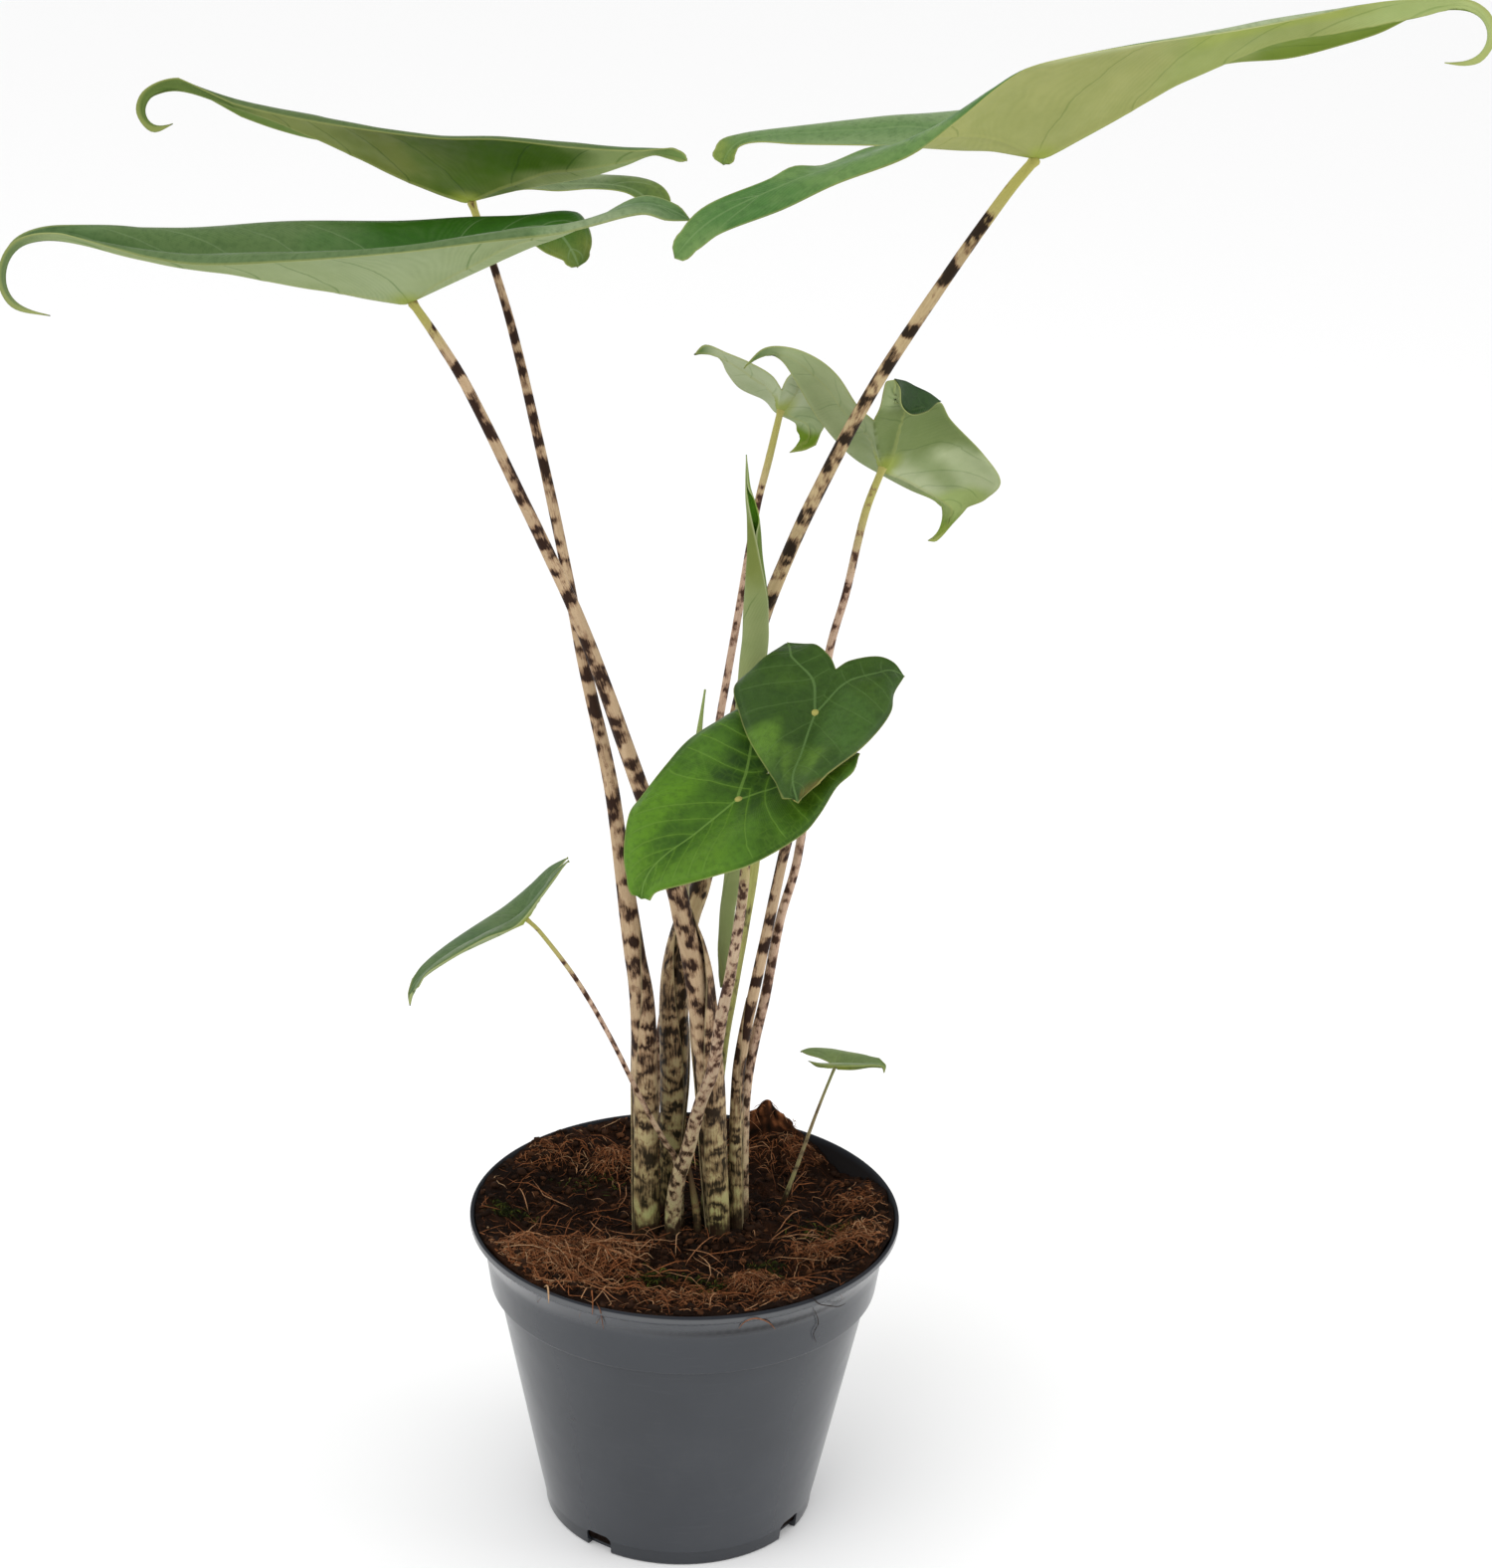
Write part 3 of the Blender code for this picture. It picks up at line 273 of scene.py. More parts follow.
# Each stalk from its foot in the soil to the blade that it carries: (x, y, z, radius) in mm. The lower
# part is as thick as the sheath that wraps it.
STALKS = {
    "stalk_left_low": ("blade_left_low", MOTTLED, [
        (13.6, -8, 122, 4.7), (12, -8, 141, 5.2), (10.4, -8, 163, 5.6), (8.6, -8, 189, 5.9),
        (6.7, -9, 206, 6.0), (4.6, -10, 224, 6.0), (2.8, -11, 237, 5.9), (0.2, -12, 249, 5.4),
        (-2.8, -12.5, 259, 4.6), (-6, -13, 273, 3.8), (-22, -16, 320, 3.2), (-42, -19, 377, 2.6),
        (-63, -22, 424, 2.2), (-83, -24, 466, 1.9), (-93, -25, 483, 1.7), (-102, -25, 496, 1.5)]),
    "stalk_left_high": ("blade_left_high", MOTTLED, [
        (-14.9, -6, 122, 5.6), (-15.6, -6, 139, 5.5), (-16.2, -5, 160, 5.3), (-17, -4, 186, 5.4),
        (-17.6, -3, 200, 5.4), (-19, -1, 221, 5.1), (-22, 0, 240, 4.3), (-28, 4, 281, 3.1),
        (-33, 9, 310, 2.8), (-43, 16, 350, 2.4), (-52, 25, 391, 2.1), (-62, 35, 431, 1.9),
        (-72, 45, 468, 1.7), (-79, 50, 490, 1.5), (-89, 55, 517, 1.4)]),
    "stalk_right_high": ("blade_right_high", GREEN_SHEATH, [
        (-5.4, 9, 122, 4.4), (-5.9, 9, 158, 4.9), (-5.3, 9, 180, 5.7), (-5.5, 9, 197, 6.1),
        (-6, 10, 214, 6.1), (-5.2, 12, 230, 6.0), (-2.4, 14, 246, 5.2), (3, 15, 264, 4.0),
        (14, 16, 327, 3.0), (22, 15, 366, 2.8), (32, 12, 397, 2.6), (44, 8, 427, 2.6),
        (61, 6, 463, 2.4), (86, 3, 506, 2.2), (105, 1, 536, 2.0), (114, 0, 548, 1.8)]),
    "stalk_right_mid": ("blade_right_mid", PINKISH, [
        (22.5, 6, 122, 3.0), (21.8, 6, 162, 2.7), (22.8, 5.5, 183, 2.3), (25.4, 6, 201, 2.1),
        (29, 8, 219, 2.0), (34, 12, 251, 1.8), (40, 18, 275, 1.7), (49, 31, 352, 1.6),
        (55, 35, 377, 1.5), (61, 39, 407, 1.5), (67, 40, 425, 1.4)]),
    "stalk_back_small": ("blade_back_small", PINKISH, [
        (-16, 14, 122, 2.9), (-12, 20, 191, 2.2), (-6, 24, 232, 1.9), (1, 29, 275, 1.6),
        (9, 36, 330, 1.5), (14, 44, 363, 1.5), (20, 53, 404, 1.4), (24, 57, 422, 1.4),
        (28, 60, 441, 1.3)]),
    "stalk_front_low": ("blade_front_low", dict(PINKISH, ground=(0.400, 0.300, 0.205), grain=1.8), [
        (-4.4, -11, 122, 3.2), (-4.3, -11.5, 136, 3.2), (-2.6, -14, 151, 3.1), (1, -17, 165, 2.8),
        (5.4, -23, 188, 2.5), (9.9, -29, 205, 2.4), (13, -35, 232, 2.3), (16, -40, 252, 2.1),
        (20, -48, 296, 1.8), (17, -50, 324, 1.5)]),
    "stalk_front_heart": ("blade_front_heart", MOTTLED, [
        (20.5, -1, 122, 3.0), (19.6, -1, 165, 2.8), (19.8, -1.5, 190, 2.6), (21.4, -3, 206, 2.5),
        (24, -6, 224, 2.3), (29, -12, 256, 2.1), (34, -20, 290, 2.0), (40, -26, 321, 1.9),
        (44, -30, 351, 1.6)]),
    "stalk_left_small": ("blade_left_small", PINKISH, [
        (-1, -3, 122, 1.4), (-2.4, -6, 145, 1.3), (-4.6, -9, 158, 1.2), (-8, -12, 165, 1.1),
        (-17, -17, 185, 1.0), (-29, -32, 219, 0.9), (-41, -45, 248, 0.9), (-54, -54, 271, 0.8),
        (-59, -56, 277, 0.8)]),
    "stalk_right_small": ("blade_right_small", STRAW, [
        (38.8, 20, 122, 1.1), (42.4, 20, 134, 0.9), (46, 20, 146, 0.8), (50, 20, 160, 0.7),
        (54, 20, 173, 0.6), (58, 20, 185, 0.6)]),
    "stalk_rolled": ("blade_rolled", YELLOW_GREEN, [
        (9, 11, 122, 3.0), (10, 8, 160, 2.7), (13, 3.5, 200, 2.4), (16, -2, 225, 2.3),
        (20, -7, 255, 2.1), (23.5, -8.5, 285, 2.0), (23, -7, 300, 1.9), (20, -1, 312, 1.7)]),
}

# The sheaths that wrap the lower stalks: height of their pointed top, the side that they open away from
# as a compass angle, and the radius of the stalk inside at the foot and at that top.
SHEATHS = {
    "stalk_left_low": (263.0, 35.0, 4.3, 3.9),
    "stalk_left_high": (258.0, 20.0, 4.5, 3.7),
    "stalk_right_high": (261.0, 160.0, 4.2, 3.9),
    "stalk_front_heart": (226.0, 165.0, 2.5, 2.2),
}

# the rolled young blade: (x, y, z, radius, compass angle of its outer edge, degrees that it fills)
ROLL = [(15.8, -6, 440, 0.35, 225, 345), (16.2, -5.7, 434, 0.8, 228, 345), (16.9, -5.2, 428, 1.2, 234, 335),
        (17.9, -4.7, 422.5, 1.9, 246, 248), (18.8, -4.2, 417, 2.4, 258, 258), (19.3, -3.6, 411, 2.7, 280, 348),
        (19.9, -2.3, 401, 3.1, 314, 388), (20.6, -0.9, 390, 4.1, 336, 412),
        (21, 0, 381, 4.8, 345, 430), (21, 2, 366, 5.1, 352, 440),
        (20, 2, 350, 5.1, 360, 440), (19, 2, 327, 5.0, 362, 430), (18, 2, 303, 4.6, 350, 400),
        (16, 2, 279, 3.6, 336, 330), (14, 2, 261, 3.3, 332, 300), (13, 2, 244, 2.9, 330, 260),
        (12, 2, 226, 1.2, 330, 90)]

SPEAR = [(10, 3.5, 122, 2.2), (8, 2.5, 160, 2.2), (5, 1.5, 200, 2.1), (1, 0, 240, 2.0),
         (-3, -0.5, 265, 1.9), (-1, -1, 290, 1.7), (0, -1, 306, 1.6), (1, -2, 329, 1.2),
         (2, -3, 340, 0.7), (3, -3, 349, 0.35)]
STUB = [(5.9, -10, 122, 1.6), (4.8, -9.5, 133, 1.6), (3.2, -9, 143, 1.3), (1.2, -8.5, 154, 0.7)]


PALE = "leaf_pale"
PALE_BLADES = ("blade_left_low", "blade_left_high", "blade_right_high", "blade_right_mid", "blade_back_small")
THICKEST = 2.0      # of a blade, at its midrib

# painted light and shade on the rolled blade: top colours lightened inside the roll, the pale edge line a painted
# highlight, the last under patch painted shade along the inner turn
ROLLED_LOOK = dict(top=(0.085, 0.230, 0.010), lit=(0.120, 0.270, 0.016), under=(0.235, 0.275, 0.115),
                   far=(0.215, 0.250, 0.098), vein=(0.20, 0.26, 0.09), net=0.0, glow=0.1, show=0.2,
                   edge=(0.480, 0.500, 0.300),
                   under_patches=[(None, 0.26, 0.46, -1, 0.4, (0.170, 0.200, 0.052)),
                                  (None, 0.0, 0.16, -1, 2, (0.200, 0.260, 0.080)),
                                  (None, 0.24, 0.62, 0.74, 2, (0.120, 0.168, 0.040))])
SPEAR_LOOK = dict(ground=(0.330, 0.290, 0.170), blotch=(0.030, 0.020, 0.012), cover=0.45, specks=0.6,
                  neck=(0.200, 0.285, 0.075), neck_reach=(45.0, 70.0))
DRY_LOOK = dict(ground=(0.110, 0.060, 0.034), blotch=(0.030, 0.016, 0.010), cover=0.50, specks=0.6,
                neck=(0.090, 0.048, 0.028))

# places on the soil: reddish fibre (x, y, reach, share), moss (x, y, reach, strands)
COIR_AT = [(-44, -42, 17, 0.8), (-63, -37, 10, 0.7), (-26, -31, 8, 0.6), (-31, 43, 8, 0.7), (50, -25, 7, 0.8),
           (26, -50, 8, 0.7), (72, -12, 8, 0.6), (70, 20, 8, 0.5), (-63, 48, 9, 0.5), (-38, 70, 9, 0.4),
           (3, -64, 13, 0.5), (40, 60, 12, 0.5), (39, -60, 8, 0.5)]
COIR_TUFTS = [(-44, -42, 14, 0.30), (-62, -38, 8, 0.06), (-26, -31, 6, 0.05), (70, -14, 8, 0.10),
              (-31, 43, 6, 0.07), (50, -25, 5, 0.05), (27, -50, 6, 0.06), (70, 18, 7, 0.05),
              (-62, 46, 8, 0.05), (3, -64, 10, 0.07), (38, 58, 10, 0.05), (39, -60, 6, 0.05)]
MOSS_AT = [(-10, -45, 5, 120), (10, -50, 5, 90), (33, -35, 4, 80), (-70, -2, 5, 130), (56, -5, 7, 110),
           (-38, 30, 7, 60), (8, 55, 8, 40)]
FLAP = ((22, 66, 139), (31, 66, 145), (45, 70, 133))       # the torn coir: its left, peak and right
# single fibres that lie over the soil or hang over the rim: points, radius, tone
LOOSE_FIBRES = [
    ([(-52, -62, 127), (-50, -66, 131), (-49, -72, 132), (-48.5, -76, 129)], 0.35, 0.95),
    ([(10, -62, 125), (16, -66, 130), (24, -67, 131), (31, -65, 128)], 0.25, 0.55),
    ([(30, -52, 126), (38, -57, 132), (45, -62, 132), (50, -66, 128)], 0.30, 0.15),
    ([(-33, -72, 130), (-32.2, -79, 137), (-31.8, -80, 132), (-31.9, -78.9, 126.2)], 0.20, 0.60),
    ([(-31, -74, 129.5), (-29.3, -81, 130.8), (-28.7, -80, 128), (-27.8, -76, 118.4)], 0.18, 0.50),
    ([(22.8, -78.6, 122.4), (25.5, -81.4, 127.5), (29.3, -80.2, 128.2), (34.0, -75.6, 123.9), (36.9, -71.0, 118.1)],
     0.22, 0.62),
    ([(48, -66, 128.5), (50.6, -69, 131), (52.6, -67.4, 127.9), (56.0, -61.9, 124.0), (61.0, -53.2, 118.7),
      (64, -48.6, 117.6)], 0.20, 0.06),
    ([(51.3, -65.8, 124.5), (53.2, -58.9, 114.3), (51.5, -59.8, 110.4), (52.9, -57.7, 104.9)], 0.16, 0.06),
]

IMAGE_H = 1576                                     # the photograph's height in pixels
FOCAL_PX = 3137.05                                 # its focal length, in the same pixels
CAMERA_AT = Vector((0.0247, -1.0997, 0.7276))
PITCH, YAW, ROLL_OVER = 0.36216, -0.00497, 0.02973   # downwards, to the right, and clockwise


# ---- settings

class PotSettings(bpy.types.PropertyGroup):
    colour: bpy.props.FloatVectorProperty(
        name="Plastic", description="Colour of the pot's plastic", subtype="COLOR", size=3, min=0, max=1,
        default=(0.0245, 0.0280, 0.0345))
    dust: bpy.props.FloatProperty(
        name="Dust", description="How much dust and soil clings to the pot", subtype="FACTOR",
        min=0, max=1, default=0.5)
    sides: bpy.props.IntProperty(
        name="Sides", description="Steps round the pot", min=24, max=256, default=144)


class SoilSettings(bpy.types.PropertyGroup):
    peat: bpy.props.FloatVectorProperty(
        name="Peat", description="Colour of the dark peat", subtype="COLOR", size=3, min=0, max=1,
        default=(0.008, 0.004, 0.0025))
    coir: bpy.props.FloatVectorProperty(
        name="Coir", description="Colour of the reddish fibre", subtype="COLOR", size=3, min=0, max=1,
        default=(0.130, 0.046, 0.018))
    fibres: bpy.props.IntProperty(
        name="Fibres", description="Fine roots on the soil; coir and loose strands follow", min=0, max=4000,
        default=2400)
    crumbs: bpy.props.IntProperty(
        name="Crumbs", description="Loose crumbs on the soil", min=0, max=6000, default=3400)
    seed: bpy.props.IntProperty(
        name="Seed", description="Seed of everything scattered", min=0, max=999, default=5)


class LeafSettings(bpy.types.PropertyGroup):
    margin: bpy.props.FloatVectorProperty(
        name="Margin", description="Colour of a blade's margin", subtype="COLOR", size=3, min=0, max=1,
        default=(0.330, 0.350, 0.110))
    thickness: bpy.props.FloatProperty(
        name="Thickness", description="Thickness of a blade between its veins", unit="LENGTH",
        min=0.0002, max=0.002, default=0.0007)
    quilting: bpy.props.FloatProperty(
        name="Quilting", description="How far a blade bulges between its side veins", unit="LENGTH",
        min=0, max=0.002, default=0.00035)


class StalkSettings(bpy.types.PropertyGroup):
    sides: bpy.props.IntProperty(
        name="Sides", description="Steps round a stalk", min=8, max=48, default=20)
    neck: bpy.props.FloatVectorProperty(
        name="Neck", description="Colour of a stalk just under its blade", subtype="COLOR", size=3,
        min=0, max=1, default=(0.360, 0.350, 0.080))
    foot: bpy.props.FloatVectorProperty(
        name="Foot", description="Colour of a stalk near the soil", subtype="COLOR", size=3,
        min=0, max=1, default=(0.330, 0.340, 0.125))


class StageSettings(bpy.types.PropertyGroup):
    floor: bpy.props.FloatVectorProperty(
        name="Floor", description="Colour of the floor", subtype="COLOR", size=3, min=0, max=1,
        default=(0.95, 0.95, 0.95))
    key: bpy.props.FloatProperty(
        name="Key", description="Power of the large soft light", unit="POWER", min=0, max=500, default=20)
    fill: bpy.props.FloatProperty(
        name="Fill", description="Brightness of the white surroundings", min=0, max=5, default=1.0)


class AlocasiaSettings(bpy.types.PropertyGroup):
    pot: bpy.props.PointerProperty(type=PotSettings, name="Pot", description="The nursery pot")
    soil: bpy.props.PointerProperty(type=SoilSettings, name="Soil", description="The soil in the pot")
    leaf: bpy.props.PointerProperty(type=LeafSettings, name="Leaves", description="The blades")
    stalk: bpy.props.PointerProperty(type=StalkSettings, name="Stalks", description="The leaf stalks")
    stage: bpy.props.PointerProperty(type=StageSettings, name="Stage", description="Floor and lights")


def settings():
    return bpy.context.scene.alocasia


# ---- node trees

class Nodes:
    """Short calls that add nodes to a tree and feed their sockets."""

    def __init__(self, tree):
        self.tree = tree

    def add(self, kind, **options):
        node = self.tree.nodes.new("ShaderNode" + kind)
        for key, value in options.items():
            setattr(node, key, value)
        return node

    def feed(self, socket, value):
        if isinstance(value, bpy.types.NodeSocket):
            self.tree.links.new(value, socket)
        elif socket.type == "RGBA" and len(value) == 3:
            socket.default_value = (*value, 1.0)
        else:
            socket.default_value = value

    def math(self, operation, *values, clamp=False):
        node = self.add("Math", operation=operation, use_clamp=clamp)
        for socket, value in zip(node.inputs, values):
            self.feed(socket, value)
        return node.outputs[0]

    def smooth(self, value, low, high, start=0.0, end=1.0):
        node = self.add("MapRange", interpolation_type="SMOOTHSTEP")
        for key, given in (("Value", value), ("From Min", low), ("From Max", high), ("To Min", start),
                           ("To Max", end)):
            self.feed(node.inputs[key], given)
        return node.outputs["Result"]

    def mix(self, share, a, b, blend="MIX"):
        node = self.add("Mix", data_type="RGBA", blend_type=blend)
        for index, value in ((0, share), (6, a), (7, b)):
            self.feed(node.inputs[index], value)
        return node.outputs[2]

    def noise(self, vector, scale, detail=2.0, roughness=0.5):
        node = self.add("TexNoise")
        for key, value in (("Vector", vector), ("Scale", scale), ("Detail", detail),
                           ("Roughness", roughness)):
            self.feed(node.inputs[key], value)
        return node.outputs["Factor"] if "Factor" in node.outputs else node.outputs["Fac"]

    def cells(self, vector, scale, feature="DISTANCE_TO_EDGE"):
        node = self.add("TexVoronoi", feature=feature)
        self.feed(node.inputs["Vector"], vector)
        self.feed(node.inputs["Scale"], scale)
        return node.outputs["Distance"]

    def scaled(self, vector, by):
        node = self.add("VectorMath", operation="MULTIPLY")
        self.feed(node.inputs[0], vector)
        self.feed(node.inputs[1], by)
        return node.outputs[0]

    def split(self, vector):
        node = self.add("SeparateXYZ")
        self.feed(node.inputs[0], vector)
        return node.outputs

    def join(self, x, y, z):
        node = self.add("CombineXYZ")
        for socket, value in zip(node.inputs, (x, y, z)):
            self.feed(socket, value)
        return node.outputs[0]

    def stored(self, name, output="Vector"):
        return self.add("Attribute", attribute_name=name).outputs[output]

    def place(self):
        return self.add("TexCoord").outputs["Object"]

    def group(self, tree, **inputs):
        node = self.add("Group")
        node.node_tree = tree
        for key, value in inputs.items():
            self.feed(node.inputs[key.replace("_", " ").capitalize()], value)
        return node.outputs

    def bump(self, height, distance, strength=1.0):
        node = self.add("Bump")
        self.feed(node.inputs["Height"], height)
        self.feed(node.inputs["Distance"], distance)
        self.feed(node.inputs["Strength"], strength)
        return node.outputs["Normal"]


def new_group(name, inputs, outputs):
    """An empty shader group with its sockets, as (tree, helper, inputs, put), where put sets an output."""
    tree = bpy.data.node_groups.new(name, "ShaderNodeTree")
    for label, kind in inputs:
        tree.interface.new_socket(name=label, in_out="INPUT", socket_type="NodeSocket" + kind)
    for label, kind in outputs:
        tree.interface.new_socket(name=label, in_out="OUTPUT", socket_type="NodeSocket" + kind)
    given = tree.nodes.new("NodeGroupInput").outputs
    result = tree.nodes.new("NodeGroupOutput")

    def put(label, value):
        tree.links.new(value, result.inputs[label])
    return tree, Nodes(tree), given, put


def new_material(name, roughness=0.5, specular=0.5):
    """A material with its Principled BSDF, as (material, helper, shader's inputs)."""
    mat = bpy.data.materials.new(name)
    mat.use_nodes = True
    shader = mat.node_tree.nodes["Principled BSDF"]
    shader.inputs["Roughness"].default_value = roughness
    shader.inputs["Specular IOR Level"].default_value = specular
    return mat, Nodes(mat.node_tree), shader.inputs


def leaf_lines_group():
    """Masks of the lines on a blade, from what its mesh stores: distances in mm to the nearest rib, the
    margin and the joint, and the number of the side vein with the gap between veins."""
    tree, n, given, put = new_group(
        "leaf_lines",
        [("Lines", "Vector"), ("Veins", "Vector"), ("Wobble", "Float"), ("Rib width", "Float"),
         ("Vein width", "Float")],
        [("Rib", "Float"), ("Near rib", "Float"), ("Vein", "Float"), ("Halo", "Float"),
         ("Stripe", "Float"), ("Rim vein", "Float"), ("Margin", "Float")])
    rib, edge, joint = n.split(given["Lines"])[:3]
    rib = n.math("ABSOLUTE", rib)
    number, gap, _ = n.split(given["Veins"])[:3]
    number = n.math("MULTIPLY_ADD", n.math("SUBTRACT", given["Wobble"], 0.5), 0.22, number)
    taper = n.math("MULTIPLY_ADD", n.math("POWER", 2.718, n.math("MULTIPLY", joint, -1 / 60)), 0.65, 0.35)
    width = n.math("MULTIPLY", given["Rib width"], taper)
    put("Rib", n.smooth(rib, n.math("MULTIPLY", width, 0.45), width, 1.0, 0.0))
    put("Near rib", n.smooth(rib, 0.0, n.math("MULTIPLY", width, 12.0), 1.0, 0.0))
    off = n.math("ABSOLUTE", n.math("SUBTRACT", n.math("FRACT", n.math("ADD", number, 0.5)), 0.5))
    away = n.math("MULTIPLY", off, gap)
    clear = n.smooth(edge, 0.8, 4.0)
    line = n.smooth(away, n.math("MULTIPLY", given["Vein width"], 0.4), given["Vein width"], 1.0, 0.0)
    put("Vein", n.math("MULTIPLY", line, clear))
    put("Halo", n.math("MULTIPLY", n.smooth(off, 0.0, 0.34, 1.0, 0.0), clear))
    turns = n.math("MULTIPLY", number, 2 * math.pi * 13)
    put("Stripe", n.math("MULTIPLY_ADD", n.math("SINE", turns), 0.5, 0.5))
    put("Rim vein", n.math("MULTIPLY", n.smooth(edge, 1.6, 2.1), n.smooth(edge, 2.3, 2.9, 1.0, 0.0)))
    put("Margin", n.smooth(edge, 0.15, 0.55, 1.0, 0.0))
    return tree


def mottling_group():
    """Masks of dark blotches and their soft fringe, of fine specks and lengthwise streaks on a stalk.
    Across is a vector in mm whose Z runs along the stalk; Maze turns blotches into wavy bands."""
    tree, n, given, put = new_group(
        "stalk_mottling",
        [("Across", "Vector"), ("Cover", "Float"), ("Maze", "Float")],
        [("Blotch", "Float"), ("Fringe", "Float"), ("Specks", "Float"), ("Streaks", "Float")])
    x, y, along = n.split(given["Across"])[:3]
    streaks = n.noise(n.scaled(given["Across"], (1.3, 1.3, 0.10)), 1.0, 3.0, 0.6)
    shifted = n.math("MULTIPLY_ADD", n.math("SUBTRACT", streaks, 0.5), 2.2, along)
    at = n.join(x, y, shifted)
    blobs = n.noise(n.scaled(at, (0.19, 0.19, 0.170)), 1.0, 1.5, 0.5)
    waves = n.noise(n.scaled(at, (0.10, 0.10, 0.145)), 1.0, 1.5, 0.5)
    ridge = n.math("MULTIPLY_ADD", n.math("ABSOLUTE", n.math("SUBTRACT", waves, 0.5)), -1.5, 0.620)
    spots = n.noise(n.scaled(at, (0.26, 0.26, 0.30)), 1.0, 2.0, 0.5)
    maze = n.math("MAXIMUM", ridge, n.math("SUBTRACT", spots, 0.06))
    field = n.math("ADD", n.math("MULTIPLY", blobs, n.math("SUBTRACT", 1.0, given["Maze"])),
                   n.math("MULTIPLY", maze, given["Maze"]))
    brush = n.noise(n.scaled(given["Across"], (1.7, 1.7, 0.24)), 1.0, 3.0, 0.65)
    field = n.math("MULTIPLY_ADD", n.math("SUBTRACT", brush, 0.5), 0.34, field)
    edge = n.math("MULTIPLY_ADD", given["Cover"], -0.30, 0.665)
    put("Blotch", n.smooth(field, n.math("SUBTRACT", edge, 0.015), n.math("ADD", edge, 0.085)))
    put("Fringe", n.smooth(field, n.math("SUBTRACT", edge, 0.10), n.math("ADD", edge, 0.015)))
    fine = n.noise(n.scaled(given["Across"], (2.0, 2.0, 1.1)), 1.0, 2.0, 0.6)
    near = n.smooth(field, n.math("SUBTRACT", edge, 0.16), edge, 0.25, 1.0)
    put("Specks", n.math("MULTIPLY", n.smooth(fine, 0.56, 0.66), near))
    put("Streaks", streaks)
    return tree


def dust_group():
    """Pale dust in soft patches and small dark specks of soil, on object coordinates."""
    tree, n, given, put = new_group(
        "dust_and_specks", [("Place", "Vector"), ("Amount", "Float")],
        [("Dust", "Float"), ("Specks", "Float"), ("Scratches", "Float")])
    patches = n.smooth(n.noise(given["Place"], 26.0, 5.0, 0.65), 0.46, 0.78)
    grit = n.smooth(n.noise(given["Place"], 900.0, 2.0, 0.5), 0.55, 0.75)
    put("Dust", n.math("MULTIPLY", n.math("MULTIPLY_ADD", grit, 0.12, patches), given["Amount"], clamp=True))
    dots = n.cells(given["Place"], 75.0, "F1")
    few = n.smooth(n.noise(given["Place"], 31.0, 1.0), 0.60, 0.66)
    put("Specks", n.math("MULTIPLY", n.smooth(dots, 0.055, 0.10, 1.0, 0.0), few))
    lines = n.noise(n.scaled(given["Place"], (60.0, 60.0, 700.0)), 1.0, 2.0, 0.5)
    put("Scratches", n.smooth(lines, 0.62, 0.70))
    return tree


def group_named(name, make):
    return bpy.data.node_groups.get(name) or make()


# ---- materials

def patched(n, colour, place, patches):
    """Colours that hold in one part of a blade, given as (half, u from, u to, v from, v to, colour)."""
    # many patches paint the shade, light and highlights that fall on a part of a blade; others, such as a dried tip,
    # are its own colour
    u, v, half = n.split(n.stored("leaf_place"))[:3]
    drift = n.math("MULTIPLY_ADD", n.noise(place, 45.0, 3.0), 0.16, -0.08)
    u, v = n.math("ADD", u, drift), n.math("ADD", v, drift)
    for which, u_from, u_to, v_from, v_to, tint in patches:
        mask = n.math("MULTIPLY", n.smooth(u, u_from - 0.05, u_from + 0.05),
                      n.smooth(u, u_to - 0.05, u_to + 0.05, 1.0, 0.0))
        mask = n.math("MULTIPLY", mask, n.smooth(v, v_from - 0.12, v_from + 0.12))
        mask = n.math("MULTIPLY", mask, n.smooth(v, v_to - 0.12, v_to + 0.12, 1.0, 0.0))
        if which is not None:
            mask = n.math("MULTIPLY", mask, half if which else n.math("SUBTRACT", 1.0, half))
        colour = n.mix(mask, colour, tint)
    return colour


